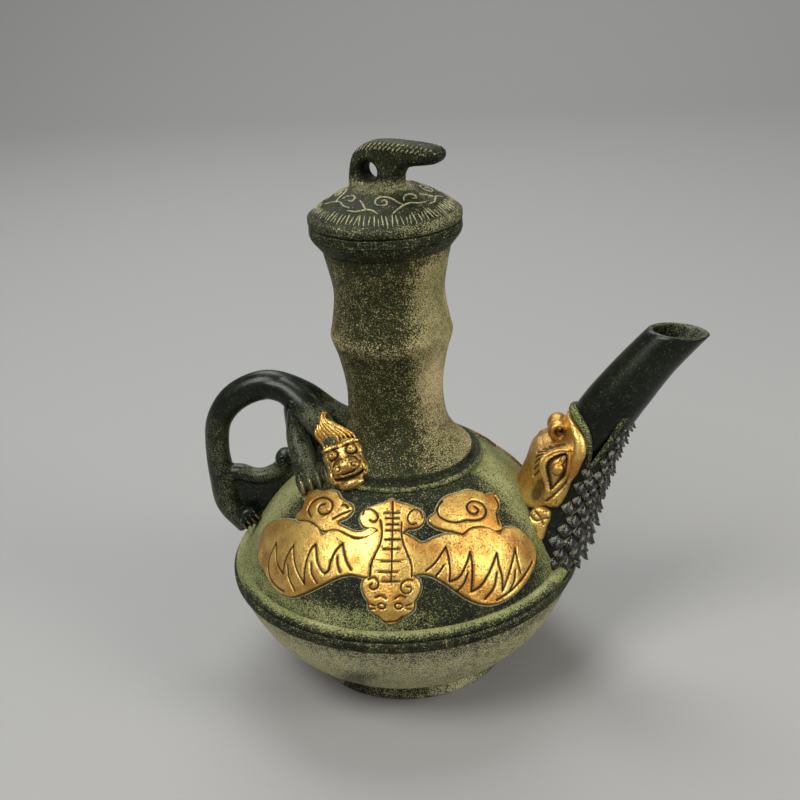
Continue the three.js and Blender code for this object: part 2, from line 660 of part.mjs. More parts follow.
/** Lump of the head: place down, across and out of the face, then half-lengths, as shares of its length. */
const headLump = (shares, grow, facets) => {
  const [down, across, out, ...halves] = shares.map((share) => share * HEAD_LENGTH);
  const at = headCentre.clone().addScaledVector(chinWay, down);
  at.addScaledVector(cheekWay, across).addScaledVector(faceWay, out);
  return ellipsoid(at.toArray(), halves.map((half) => half + grow), chinWay, facets);
};
const headLumps = [
  [0, 0, 0, 1, 0.604, 0.563],
  [0.479, 0, 0.438, 0.333, 0.313, 0.271],
  [-0.125, 0.281, 0.438, 0.198, 0.198, 0.198],
  [-0.125, -0.281, 0.438, 0.198, 0.198, 0.198],
  [-0.667, 0.458, 0.167, 0.313, 0.188, 0.188],
  [-0.667, -0.458, 0.167, 0.313, 0.188, 0.188],
];
const headGrown = (grow) =>
  join(headLumps.map((lump, i) => headLump(lump, grow, i ? FEATURE_FACETS : HEAD_FACETS)));
place('beast_head', cut(headGrown(0), [seat, handleSeat]), GILT);
const headSeat = headGrown(SEAM);
const maneRoot = new THREE.Vector3(...onHandle([-0.705, -0.24, 0.835, 1, 1]).slice(0, 3));
const maneTip = headCentre.clone().add(new THREE.Vector3(-0.104, 0.417, 0.313).multiplyScalar(HEAD_LENGTH));
const maneMiddle = maneRoot.clone().lerp(maneTip, 0.5);
maneMiddle.z += MANE_SWELL;
const maneStations = [[maneRoot, 1.14, 1], [maneMiddle, 1.05, 0.95], [maneTip, 1, 0.91]].map(
  ([at, inPlane, cross]) => [...at.toArray(), inPlane * MANE_RADIUS, cross * MANE_RADIUS],
);
const maneGrown = (grow) => sweep(maneStations, { steps: 4, sides: 8, grow });
place('beast_mane', cut(maneGrown(0), [seat, handleSeat, headSeat]), GILT);
const legCuts = [seat, handleSeat, headSeat, maneGrown(SEAM)];

/** Pad with four toes spread across it. */
function paw(centre, forward, across) {
  const middle = new THREE.Vector3(...centre);
  const toes = [-1.5, -0.5, 0.5, 1.5].map((spread) => {
    const at = middle.clone().addScaledVector(across, spread * TOE_RADIUS * 1.7);
    at.addScaledVector(forward, TOE_LENGTH);
    return ellipsoid(at.toArray(), [TOE_LENGTH, TOE_RADIUS, TOE_RADIUS], forward, 6);
  });
  return join([ellipsoid(centre, [TOE_LENGTH * 1.2, TOE_LENGTH, TOE_LENGTH], across, 8), ...toes]);
}

// Curve up the shoulder's wall, on which the forepaws rest and the gilt panels lie
const fieldCurve = new THREE.CatmullRomCurve3(shoulderCurve.map(([r, z]) => new THREE.Vector3(r, z, 0)));
const pawRest = fieldCurve.getPointAt(FOREPAW_SHARE);
for (const [side, way] of [['front', -1], ['back', 1]]) {
  const restX = -pawRest.x * Math.cos(FOREPAW_TURN);
  const restY = way * pawRest.x * Math.sin(FOREPAW_TURN);
  const foreleg = [
    [-0.563, -1.03, 1, 1.2, 1.13],
    [-0.524, -0.635, 0.563, 1.1, 1.05],
    [-0.27, -0.278, 0.246, 0.9, 0.9],
    [0, 0, 0, 0.86, 0.86],
  ].map(([out, across, up, inPlane, cross]) => [
    restX + out * FORELEG_HEIGHT,
    restY + way * across * FORELEG_HEIGHT,
    pawRest.y + up * FORELEG_HEIGHT,
    inPlane * FORELEG_RADIUS,
    cross * FORELEG_RADIUS,
  ]);
  const foreWay = new THREE.Vector3(0.25, way * 0.78, -0.57);
  const foreFoot = paw(foreleg[3].slice(0, 3), foreWay, new THREE.Vector3(0.95, -way * 0.3, 0));
  const leg = join([sweep(foreleg, { steps: 6, sides: 8 }), foreFoot]);
  place(`foreleg_${side}`, cut(leg, legCuts), DARK_BRONZE);
  const hindFoot = paw(
    [HIND_PAW_INSET - BAND_RADIUS, way * HIND_PAW_OFFSET, bandTop + HIND_PAW_RISE],
    new THREE.Vector3(0.6, way * 0.75, -0.25).normalize(),
    new THREE.Vector3(0.7, -way * 0.55, 0.45).normalize(),
  );
  place(`hind_paw_${side}`, cut(hindFoot, [seat, handleSeat]), DARK_BRONZE);
}

// Gilt panels, drawn as [degrees from the bat's middle, arc up the shoulder] and laid on the wall
const fieldScale = fieldCurve.getLength() / PANEL_FIELD;
const fieldRadius = (wallRadius + SHOULDER_TOP_RADIUS) / 2;

/** Closed outline from runs of points; each run is smooth and the runs meet in corners. */
function panelOutline(start, runs, way) {
  const drawn = ([degrees, arc]) => vec2([way * THREE.MathUtils.degToRad(degrees) * fieldRadius, arc]);
  const shape = new THREE.Shape();
  shape.moveTo(...drawn(start).toArray());
  for (const run of runs) {
    if (run.length === 1) {
      shape.lineTo(...drawn(run[0]).toArray());
    } else {
      shape.splineThru(run.map(drawn));
    }
  }
  return shape;
}

/** Panel of even thickness bent onto the shoulder, its middle at an angle round the axis. */
function panel(shape, azimuth) {
  const options = { depth: PANEL_THICKNESS, bevelEnabled: false, curveSegments: 1 };
  const flat = new THREE.ExtrudeGeometry(shape, options);
  const fine = new TessellateModifier(PANEL_FACET, 8).modify(flat);
  const points = fine.attributes.position;
  for (let i = 0; i < points.count; i += 1) {
    const share = THREE.MathUtils.clamp((points.getY(i) * fieldScale) / fieldCurve.getLength(), 0, 1);
    const wall = fieldCurve.getPointAt(share);
    const along = fieldCurve.getTangentAt(share);
    const lift = SEAM + points.getZ(i);
    const radius = wall.x + along.y * lift;
    const turn = azimuth + points.getX(i) / fieldRadius;
    points.setXYZ(i, radius * Math.cos(turn), radius * Math.sin(turn), wall.y - along.x * lift);
  }
  return solid(fine);
}

const bodyHalf = [
  [0, 37.6], [7, 36.5], [12, 34.8], [16, 32], [14, 29.2], [10, 28.6], [7.4, 26], [8, 20], [7.2, 15.2],
  [9.6, 12.6], [8.6, 9], [5.4, 5], [2.4, 2.4], [0, 1.6],
];
const otherHalf = bodyHalf.slice(0, -1).reverse().map(([degrees, arc]) => [-degrees, arc]);
const batBody = [[...bodyHalf.slice(1), ...otherHalf]];
const wingRuns = [
  [[9.2, 25.4]],
  [[16, 23.9], [25, 25.2], [32.5, 22.5]],
  [[38, 24.6], [44, 24], [48.5, 20.5]],
  [
    [55, 21.2], [62, 19.2], [66, 14.5], [66, 8], [60, 3.8], [50, 2], [41, 2], [33, 4.2], [24, 9.6],
    [17, 12.8], [9.2, 14],
  ],
];
const cloudRuns = [
  [[30, 34.4], [41, 35.4], [50, 33.4], [56, 29], [56.5, 25], [54, 22.8]],
  [[49.5, 22.6], [44.5, 25.4], [37.5, 26], [28, 28.4], [21, 31]],
];
for (const [side, azimuth] of [['front', -Math.PI / 2], ['back', Math.PI / 2]]) {
  place(`bat_body_${side}`, panel(panelOutline(bodyHalf[0], batBody, 1), azimuth), GILT);
  for (const [hand, way] of [['left', -1], ['right', 1]]) {
    place(`bat_wing_${side}_${hand}`, panel(panelOutline([9.2, 14], wingRuns, way), azimuth), GILT);
    place(`cloud_${side}_${hand}`, panel(panelOutline([21, 31], cloudRuns, way), azimuth), GILT);
  }
}

export default flask;
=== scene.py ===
"""Looks of a patinated bronze wine flask with gilt bats, a dragon-fish spout and a beast handle.

Sizes are written in millimetres and become metres where a mesh is made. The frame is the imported
model's: +Z up the axis from the table, +X to the spout, -X to the handle, -Y to the front bat.
"""

from __future__ import annotations

import logging
import math
from dataclasses import dataclass, field
from enum import Enum
from typing import Callable, Iterator, Sequence

import bpy
import numpy as np
from bpy.types import ID, Material, Mesh, Node, NodeSocket, NodeTree, Object, Scene
from mathutils import Matrix, Vector


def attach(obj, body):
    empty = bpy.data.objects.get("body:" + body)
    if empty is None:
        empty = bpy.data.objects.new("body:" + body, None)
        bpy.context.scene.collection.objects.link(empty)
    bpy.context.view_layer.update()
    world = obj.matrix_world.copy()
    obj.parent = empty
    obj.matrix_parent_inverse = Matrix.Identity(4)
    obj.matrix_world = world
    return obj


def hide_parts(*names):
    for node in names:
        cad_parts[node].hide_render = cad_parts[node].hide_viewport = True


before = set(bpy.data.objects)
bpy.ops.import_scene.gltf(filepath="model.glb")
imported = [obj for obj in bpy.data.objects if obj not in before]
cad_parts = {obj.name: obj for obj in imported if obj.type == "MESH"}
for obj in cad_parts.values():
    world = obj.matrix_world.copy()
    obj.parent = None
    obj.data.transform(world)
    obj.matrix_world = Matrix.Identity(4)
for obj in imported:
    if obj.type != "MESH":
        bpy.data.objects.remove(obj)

LOG = logging.getLogger("wine_flask")
MM = 0.001
BAND_RADIUS = 54.0
BAND_TOP = 36.3
NECK_FOOT = 71.6
INK = "ink"  # attribute: engraved, worn or dusted share of a surface, 0 to 1; in places it also carries painted shade and painted light
TURN = "turn"  # attribute: Euler angles of an instance
GROWTH = "growth"  # attribute: size of an instance, or girth of a tube

Colour = tuple[float, float, float]
Pair = tuple[float, float]
Row = tuple[float, ...]
Line = tuple[Pair, ...]
Lines = tuple[Line, ...]
Rows = tuple[Row, ...]
Points = np.ndarray
Faces = list[tuple[int, ...]]
Solid = tuple[Points, Faces]
Profile = tuple[list[Pair], bool]


class Slot(Enum):
    """Material slots of the record."""

    PATINA = "patina"
    DARK = "dark_bronze"
    GILT = "gilt"


class Part(Enum):
    """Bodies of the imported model."""

    FLASK = "flask"
    LID = "lid"


class Side(Enum):
    """The two broad sides of the flask, with the way of each along Y."""

    FRONT = -1
    BACK = 1

    @property
    def word(self) -> str:
        """Name of the side as the nodes have it."""
        return self.name.lower()


# Curves and meshes


def unit(ways: Points) -> Points:
    """Rows made one long."""
    return ways / np.linalg.norm(ways, axis=-1, keepdims=True)


def run_of(line: Points) -> Points:
    """Way along a line to each of its points."""
    return np.r_[0, np.cumsum(np.linalg.norm(np.diff(line, axis=0), axis=1))]


def catmull(points: Sequence[Sequence[float]], shares: Points) -> Points:
    """Points on the centripetal curve through given points.

    Args:
        points: The points that the curve passes through.
        shares: Places along the curve, 0 to 1, each span being the same share.

    Returns:
        One row for each share.
    """
    knots = np.asarray(points, float)
    place = (len(knots) - 1) * np.clip(np.asarray(shares, float), 0, 1)
    span = np.minimum(place.astype(int), len(knots) - 2)
    w = (place - span)[..., None]
    ends = np.vstack([2 * knots[0] - knots[1], knots, 2 * knots[-1] - knots[-2]])
    a, b, c, d = (ends[span + i] for i in range(4))

    def step(p: Points, q: Points) -> Points:
        """Centripetal step between two knots."""
        return np.maximum(((q - p) ** 2).sum(-1) ** 0.25, 1e-4)[..., None]

    d0, d1, d2 = step(a, b), step(b, c), step(c, d)
    leave = ((b - a) / d0 - (c - a) / (d0 + d1) + (c - b) / d1) * d1
    arrive = ((c - b) / d1 - (d - b) / (d1 + d2) + (d - c) / d2) * d1
    square = -3 * b + 3 * c - 2 * leave - arrive
    cube = 2 * b - 2 * c + leave + arrive
    return b + w * leave + w**2 * square + w**3 * cube


def smooth_path(points: Sequence[Sequence[float]], count: int, closed: bool = False) -> Points:
    """Evenly spaced points on a smooth line through given points.

    Args:
        points: The points that the line passes through.
        count: How many points to return.
        closed: Whether the line runs back to its start.

    Returns:
        The points, the start not repeated on a closed line.
    """
    knots = np.asarray(points, float)
    if closed:
        lead = 3
        wrapped = np.vstack([knots[-lead:], knots, knots[: lead + 1]])
        spans = len(wrapped) - 1
        shares = np.linspace(lead / spans, (lead + len(knots)) / spans, 12 * len(knots) + 1)
        fine = catmull(wrapped, shares)
    else:
        fine = catmull(knots, np.linspace(0, 1, 12 * len(knots)))
    run = run_of(fine)
    places = np.linspace(0, run[-1], count, endpoint=not closed)
    return np.stack([np.interp(places, run, fine[:, k]) for k in range(fine.shape[1])], -1)


def bezier(start: Pair, pull: Pair, end: Pair, count: int) -> Points:
    """Points on a quadratic curve, ends included.

    Args:
        start: First point.
        pull: Point that pulls the curve.
        end: Last point.
        count: Number of points.

    Returns:
        One row for each point.
    """
    t = np.linspace(0, 1, count)[:, None]
    a, b, c = (np.asarray(p, float) for p in (start, pull, end))
    return (1 - t) ** 2 * a + 2 * t * (1 - t) * b + t**2 * c


def softened(corners: Sequence[Row]) -> list[Pair]:
    """Closed outline with its corners rounded.

    Args:
        corners: Points as (x, y, rounding), in order round the outline.

    Returns:
        The points of the rounded outline.
    """
    steps = 4
    out: list[Pair] = []
    for i, (x, y, rounding) in enumerate(corners):
        here = np.array([x, y])
        if rounding <= 0:
            out.append((x, y))
            continue
        before = np.array(corners[i - 1][:2]) - here
        after = np.array(corners[(i + 1) % len(corners)][:2]) - here
        start = here + before / np.linalg.norm(before) * rounding
        end = here + after / np.linalg.norm(after) * rounding
        out += [tuple(p) for p in bezier(tuple(start), (x, y), tuple(end), steps)]
    return out


def linked(name: str, data: ID) -> Object:
    """New object in the scene.

    Args:
        name: Name of the object.
        data: What the object shows, such as a mesh.

    Returns:
        The object.
    """
    obj = bpy.data.objects.new(name, data)
    bpy.context.scene.collection.objects.link(obj)
    return obj


def store(mesh: Mesh, name: str, values: Points) -> None:
    """Writes an attribute of a mesh, a number or a vector for each vertex.

    Args:
        mesh: Mesh to write to.
        name: Name of the attribute.
        values: One number or one row for each vertex.
    """
    table = np.asarray(values, np.float32)
    kind, key = ("FLOAT", "value") if table.ndim == 1 else ("FLOAT_VECTOR", "vector")
    layer = mesh.attributes.get(name) or mesh.attributes.new(name, kind, "POINT")
    layer.data.foreach_set(key, table.ravel())


def points_of(mesh: Mesh) -> Points:
    """Vertices of a mesh, in millimetres."""
    return np.array([v.co for v in mesh.vertices]) / MM


def make_mesh(name: str, points: Points, faces: Faces, ink: Points | None = None) -> Object:
    """New smooth-shaded object from points in millimetres.

    Args:
        name: Name of the piece.
        points: One row for each vertex, in millimetres.
        faces: Vertex numbers of each face.
        ink: Value of the ink attribute at each vertex.

    Returns:
        The object, linked to the scene and placed at the origin.
    """
    mesh = bpy.data.meshes.new(name)
    mesh.from_pydata((np.asarray(points, float) * MM).tolist(), [], [tuple(map(int, f)) for f in faces])
    mesh.validate()
    if ink is not None:
        store(mesh, INK, np.clip(ink, 0, 1))
    mesh.shade_smooth()
    mesh.update()
    return linked(name, mesh)


def settle(obj: Object) -> Object:
    """Turns an object with modifiers, or a curve, into a plain mesh of the same name.

    Args:
        obj: The object, which is removed.

    Returns:
        The object that holds the finished mesh.
    """
    graph = bpy.context.evaluated_depsgraph_get()
    mesh = bpy.data.meshes.new_from_object(obj.evaluated_get(graph))
    name = obj.name
    bpy.data.objects.remove(obj)
    mesh.name = name
    mesh.shade_smooth()
    done = linked(name, mesh)
    done.name = name
    return done


def skinned(obj: Object, voxel: float, soften: int) -> Object:
    """Gives an object one cast skin over its overlapping solids.

    Args:
        obj: The object, which is removed.
        voxel: Fineness of the skin, in millimetres.
        soften: Rounds of smoothing.

    Returns:
        The object that holds the skin as a plain mesh.
    """
    remesh = obj.modifiers.new("skin", "REMESH")
    remesh.mode = "VOXEL"
    remesh.voxel_size = voxel * MM
    obj.modifiers.new("soften", "SMOOTH").iterations = soften
    return settle(obj)


def lathe(profile: Sequence[Pair], segments: int, closed: bool = True) -> Solid:
    """Surface turned round the axis.

    Args:
        profile: Points as (radius, height), going up on the outside.
        segments: Facets round the axis.
        closed: Whether the profile runs back to its start; otherwise it ends on the axis.

    Returns:
        The points and the faces, facing outwards.
    """
    turn = np.linspace(0, 2 * np.pi, segments, endpoint=False)
    rows = []
    points: list[Points] = []
    count = 0
    for r, z in profile:
        if r < 1e-6:
            rows.append([count] * segments)
            points.append(np.array([[0, 0, z]]))
            count += 1
        else:
            rows.append(list(range(count, count + segments)))
            points.append(np.stack([r * np.cos(turn), r * np.sin(turn), np.full(segments, z)], -1))
            count += segments
    faces: Faces = []
    pairs = list(zip(rows, rows[1:] + rows[:1])) if closed else list(zip(rows, rows[1:]))
    for low, high in pairs:
        for j in range(segments):
            k = (j + 1) % segments
            loop = list(dict.fromkeys([low[j], low[k], high[k], high[j]]))
            if len(loop) > 2:
                faces.append(tuple(loop))
    return np.vstack(points), faces


def grid_faces(rows: int, columns: int, wrap: bool = True) -> Faces:
    """Quads of a grid of points laid row by row, wrapped along the columns if asked.

    Args:
        rows: Number of rows.
        columns: Points in a row.
        wrap: Whether the last column joins the first.

    Returns:
        Point numbers of each face.
    """
    faces: Faces = []
    for i in range(rows - 1):
        for j in range(columns if wrap else columns - 1):
            a, b = i * columns + j, i * columns + (j + 1) % columns
            faces.append((a, b, b + columns, a + columns))
    return faces


def nearest_steps(points: Points, line: Points) -> Iterator[tuple[Points, Points]]:
    """Start of each span of a line, and the step from it to the place nearest to each point.

    Args:
        points: Points to measure from.
        line: Points of the line.

    Yields:
        The start of a span, and one step for each point.
    """
    for a, b in zip(line[:-1], line[1:]):
        way = b - a
        share = np.clip(((points - a) @ way) / max(way @ way, 1e-12), 0, 1)
        yield a, share[:, None] * way


def line_distance(points: Points, line: Points, stretch: Points | float = 1.0) -> Points:
    """Distance of each point to an open line.

    Args:
        points: One row for each point.
        line: The line's points.
        stretch: Factor on the first coordinate of each point's distance.

    Returns:
        The distances.
    """
    best = np.full(len(points), np.inf)
    for start, step in nearest_steps(points, line):
        gap = points - start - step
        gap[:, 0] *= stretch
        best = np.minimum(best, (gap**2).sum(1))
    return np.sqrt(best)


def ramp(value: Points, low: float, high: float) -> Points:
    """Smooth step from 0 at the low value to 1 at the high one, either way round."""
    share = np.clip((np.asarray(value, float) - low) / (high - low), 0, 1)
    return share**2 * (3 - 2 * share)


def inside(points: Points, outline: Points) -> Points:
    """Whether each point lies inside a closed outline.

    Args:
        points: Flat points.
        outline: Corners of the closed outline.

    Returns:
        True or false for each point.
    """
    x, y = points[:, 0], points[:, 1]
    within = np.zeros(len(points), bool)
    for (x0, y0), (x1, y1) in zip(outline, np.roll(outline, -1, 0)):
        crosses = (y0 > y) != (y1 > y)
        with np.errstate(divide="ignore", invalid="ignore"):
            within ^= crosses & (x < (x1 - x0) * (y - y0) / (y1 - y0) + x0)
    return within


def nearest_on(points: Points, outline: Points) -> Points:
    """Nearest point on a closed outline to each point.

    Args:
        points: Flat points.
        outline: Corners of the closed outline.

    Returns:
        One place on the outline for each point.
    """
    best = np.full(len(points), np.inf)
    found = points.copy()
    for start, step in nearest_steps(points, np.vstack([outline, outline[:1]])):
        foot = start + step
        gap = ((points - foot) ** 2).sum(1)
        closer = gap < best
        best[closer] = gap[closer]
        found[closer] = foot[closer]
    return found


@dataclass(frozen=True)
class Sweep:
    """Round bar along stations of (x, y, z, in-plane radius, cross radius); the cross way follows Y."""

    stations: Rows

    def place(self, share: Points, angle: Points, grow: Points | float = 0.0) -> Points:
        """Points on the bar's skin.

        Args:
            share: Places along the bar, 0 to 1.
            angle: Radians from the bar's outer side.
            grow: Distance off the skin.

        Returns:
            One row for each place.
        """
        table = np.asarray(self.stations, float)
        share, angle = np.broadcast_arrays(np.asarray(share, float), np.asarray(angle, float))
        centre, _, cross, in_plane = self.axes(share)
        girth = catmull(np.c_[table[:, 3:5], np.zeros(len(table))], share)
        reach = (girth[..., 0] + grow) * np.cos(angle)
        across = (girth[..., 1] + grow) * np.sin(angle)
        return centre + in_plane * reach[..., None] + cross * across[..., None]

    def axes(self, share: Points) -> tuple[Points, Points, Points, Points]:
        """Centre, way along, way across and outer way at each share.

        Args:
            share: Places along the bar, 0 to 1.

        Returns:
            Four tables with one row for each share.
        """
        line = np.asarray(self.stations, float)[:, :3]
        share = np.asarray(share, float)
        step = 1e-4
        after, before = catmull(line, np.minimum(share + step, 1)), catmull(line, np.maximum(share - step, 0))
        along = unit(after - before)
        cross = unit(np.array([0.0, 1.0, 0.0]) - along * along[..., 1:2])
        return catmull(line, share), along, cross, np.cross(cross, along)

    def solid(self, steps: int, sides: int) -> Solid:
        """Closed bar with flat ends.

        Args:
            steps: Rings along the bar.
            sides: Points round it.

        Returns:
            Points and faces.
        """
        share = np.linspace(0, 1, steps + 1)[:, None]
        angle = np.linspace(0, 2 * np.pi, sides, endpoint=False)[None]
        points = self.place(share, angle).reshape(-1, 3)
        faces = grid_faces(steps + 1, sides)
        faces.append(tuple(reversed(range(sides))))
        faces.append(tuple(range(steps * sides, (steps + 1) * sides)))
        return points, faces


def ball(centre: Sequence[float], halves: Sequence[float], ways: Sequence[Vector] | None = None) -> Solid:
    """Stretched ball.

    Args:
        centre: Its middle, in millimetres.
        halves: Half-lengths along its three ways.
        ways: Unit ways of the half-lengths; X, Y and Z if left out.

    Returns:
        The points and the faces, facing outwards.
    """
    rows, columns = 14, 24
    turns = [math.pi * i / rows for i in range(rows + 1)]
    profile = [(math.sin(t) * (0 < i < rows), -math.cos(t)) for i, t in enumerate(turns)]
    points, faces = lathe(profile, columns, closed=False)
    basis = np.eye(3) if ways is None else np.array([tuple(way) for way in ways])
    return np.asarray(centre, float) + (points * np.asarray(halves, float)) @ basis, faces


def fused(name: str, solids: Sequence[Solid], voxel: float, soften: int) -> Object:
    """One cast skin over several solids.

    Args:
        name: Name of the piece.
        solids: Points and faces of each solid.
        voxel: Fineness of the skin, in millimetres.
        soften: Rounds of smoothing.

    Returns:
        The piece as a plain mesh.
    """
    points: list[Points] = []
    faces: Faces = []
    count = 0
    for some, loops in solids:
        points.append(np.asarray(some))
        faces += [tuple(i + count for i in loop) for loop in loops]
        count += len(some)
    return skinned(make_mesh(name, np.vstack(points), faces), voxel, soften)


@dataclass(frozen=True)
class Stroke:
    """Line worked into a surface: negative depth is cut in, positive stands proud."""

    line: Points | Rows
    width: float = 0.55
    depth: float = -0.35
    ink: float = 1.0

    def path(self) -> Points:
        """Smooth points along the stroke.

        Returns:
            One row for each point.
        """
        if len(self.line) == 2:
            return np.asarray(self.line, float)
        return smooth_path(self.line, 6 * len(self.line))

    def work(self, points: Points, stretch: Points | float = 1.0) -> tuple[Points, Points]:
        """Rise and ink at each point of a surface.

        Args:
            points: The surface's points, in the coordinates of the line.
            stretch: Factor on the first coordinate of each distance.

        Returns:
            The rise and the ink.
        """
        share = line_distance(points, self.path(), stretch) / self.width
        shape = np.exp(-(share**2) * 2)
        return self.depth * shape, self.ink * np.clip(1.5 * np.exp(-(share**2) * 2.4), 0, 1)


def worked(obj: Object, strokes: Sequence[Stroke]) -> Object:
    """Works strokes given in space into a fine mesh, along its normals.

    Args:
        obj: The object, whose mesh is changed.
        strokes: Strokes with lines in millimetres.

    Returns:
        The same object.
    """
    mesh = obj.data
    points = points_of(mesh)
    normals = np.array([v.normal for v in mesh.vertices])
    rise = np.zeros(len(points))
    ink = np.zeros(len(points))
    for stroke in strokes:
        up, dark = stroke.work(points)
        rise = np.where(np.abs(up) > np.abs(rise), up, rise)
        ink = np.maximum(ink, dark)
    moved = (points + normals * rise[:, None]) * MM
    mesh.vertices.foreach_set("co", moved.ravel())
    store(mesh, INK, ink)
    mesh.update()
    return obj


def dusted(obj: Object, powder: Callable[[Points], Points]) -> Object:
    """Adds powder to the ink of a mesh.

    Args:
        obj: The object, whose attribute is changed.
        powder: Gives the powder at each of its points, in millimetres.

    Returns:
        The same object.
    """
    mesh = obj.data
    layer = mesh.attributes.get(INK)
    ink = np.array([value.value for value in layer.data]) if layer else 0.0
    store(mesh, INK, np.clip(np.maximum(ink, powder(points_of(mesh))), 0, 1))
    return obj


@dataclass
class ReliefSheet:
    """Thin raised plate laid on a curved surface, with lines worked into it."""

    name: str
    outline: Points
    chart: Callable[[Points, Points], Points]
    stretch: Callable[[Points], Points]
    strokes: list[Stroke]
    thickness: float
    edge: float
    rim: float
    bumps: list[Row] = field(default_factory=list)
    hollows: list[tuple[Points, float]] = field(default_factory=list)
    pitch: float = 0.2
    base: float = -0.3
    rim_width: float = 0.45
    border_rise: float = 0.1
    hollow_wall: float = 0.7
    hollow_ink: float = 1.05

    def build(self) -> Object:
        """Makes the plate: a fine grid cut to the outline, raised, worked and closed underneath.

        Returns:
            The plate.
        """
        low = self.outline.min(0)
        high = self.outline.max(0)
        nx, ny = (int(n) + 2 for n in (high - low) / self.pitch)
        gx, gy = np.meshgrid(low[0] + self.pitch * np.arange(nx), low[1] + self.pitch * np.arange(ny))
        flat = np.stack([gx.ravel(), gy.ravel()], -1)
        first = (np.arange(ny - 1)[:, None] * nx + np.arange(nx - 1)[None]).ravel()
        kept = first[inside(flat[first] + self.pitch / 2, self.outline)]
        quads = np.stack([kept, kept + 1, kept + nx + 1, kept + nx], -1)
        uses = np.bincount(quads.ravel(), minlength=len(flat))
        border = (uses > 0) & (uses < 4)
        flat[border] = nearest_on(flat[border], self.outline)
        number = np.cumsum(uses > 0) - 1
        flat, quads = flat[uses > 0], number[quads]
        border = border[uses > 0]
        rise, ink = self.relief(flat)
        rise[border] = np.minimum(rise[border], self.border_rise)
        top = self.chart(flat, rise)
        under = self.chart(flat, np.full(len(flat), self.base))
        faces = [tuple(q) for q in quads] + [tuple(q[::-1] + len(flat)) for q in quads]
        faces += self.walls(quads, len(flat))
        return make_mesh(self.name, np.vstack([top, under]), faces, np.r_[ink, ink * 0])

    def relief(self, flat: Points) -> tuple[Points, Points]:
        """Height above the surface and ink at each flat point.

        Args:
            flat: Points in the flat chart.

        Returns:
            Height and ink, one number for each point.
        """
        gap = np.linalg.norm(flat - nearest_on(flat, self.outline), axis=1)
        share = np.clip(gap / self.edge, 0, 1)
        rise = self.thickness * np.sqrt(1 - (1 - share) ** 2)
        ink = self.rim * np.exp(-((gap / self.rim_width) ** 2))
        stretch = self.stretch(flat)
        for x, y, rx, ry, height in self.bumps:
            far = ((flat[:, 0] - x) * stretch / rx) ** 2 + ((flat[:, 1] - y) / ry) ** 2
            rise = rise + height * np.exp(-far) * share
        for outline, depth in self.hollows:
            wall = np.linalg.norm(flat - nearest_on(flat, outline), axis=1)
            within = inside(flat, outline)
            rise = rise - depth * within * np.clip(wall / self.hollow_wall, 0, 1)
            ink = np.maximum(ink, within * np.exp(-((wall / self.hollow_ink) ** 4)))
        cut = np.zeros(len(flat))
        for stroke in self.strokes:
            up, dark = stroke.work(flat, stretch)
            cut = np.where(np.abs(up) > np.abs(cut), up, cut)
            ink = np.maximum(ink, dark)
        return rise + cut * share, ink

    @staticmethod
    def walls(quads: Points, count: int) -> Faces:
        """Side faces between the edges of the upper and the lower grid.

        Args:
            quads: Faces of the upper grid.
            count: Points in one grid.

        Returns:
            Point numbers of each side face.
        """
        sides = np.vstack([quads[:, [i, (i + 1) % 4]] for i in range(4)])
        known = {(int(a), int(b)) for a, b in sides}
        return [(a, a + count, b + count, b) for a, b in known if (b, a) not in known]


# Node trees


class Nodes:
    """Small helper that adds nodes to a tree."""

    def __init__(self, tree: NodeTree) -> None:
        """Works on one tree."""
        self.tree = tree

    def add(self, kind: str, inputs: dict[object, object] | None = None, **settings: object) -> Node:
        """Adds a node.

        Args:
            kind: Type of the node.
            inputs: Values or sockets for its inputs, by name or number.
            settings: Properties of the node.

        Returns:
            The node.
        """
        node = self.tree.nodes.new(kind)
        for key, value in settings.items():
            setattr(node, key, value)
        for key, value in (inputs or {}).items():
            if isinstance(value, NodeSocket):
                self.tree.links.new(value, node.inputs[key])
            else:
                node.inputs[key].default_value = value
        return node

    def attribute(self, name: str, kind: str = "FLOAT") -> NodeSocket:
        """Value of a named attribute, in Geometry Nodes."""
        node = self.add("GeometryNodeInputNamedAttribute", {"Name": name}, data_type=kind)
        return node.outputs["Attribute"]

    def noise(self, place: NodeSocket, scale: NodeSocket, detail: float, roughness: float) -> NodeSocket:
        """Noise at a place."""
        inputs = {"Vector": place, "Scale": scale, "Detail": detail, "Roughness": roughness}
        return self.add("ShaderNodeTexNoise", inputs).outputs["Fac"]

    def span(self, value: NodeSocket, low: float, high: float, to: Pair = (0.0, 1.0)) -> NodeSocket:
        """Maps a value from one range smoothly into another."""
        names = {"Value": value, "From Min": low, "From Max": high, "To Min": to[0], "To Max": to[1]}
        return self.add("ShaderNodeMapRange", names, interpolation_type="SMOOTHSTEP").outputs["Result"]

    def sum(self, first: object, second: object, operation: str = "ADD") -> NodeSocket:
        """Result of a sum on two values, kept between 0 and 1."""
        node = self.add("ShaderNodeMath", {0: first, 1: second}, operation=operation, use_clamp=True)
        return node.outputs["Value"]

    def mix(self, share: object, first: object, second: object) -> NodeSocket:
        """Colour between two colours.

        Args:
            share: Share of the second colour.
            first: First colour.
            second: Second colour.

        Returns:
            The mixed colour.
        """
        colours = [(*c, 1.0) if isinstance(c, tuple) else c for c in (first, second)]
        node = self.add("ShaderNodeMix", {0: share, 6: colours[0], 7: colours[1]}, data_type="RGBA")
        return node.outputs[2]


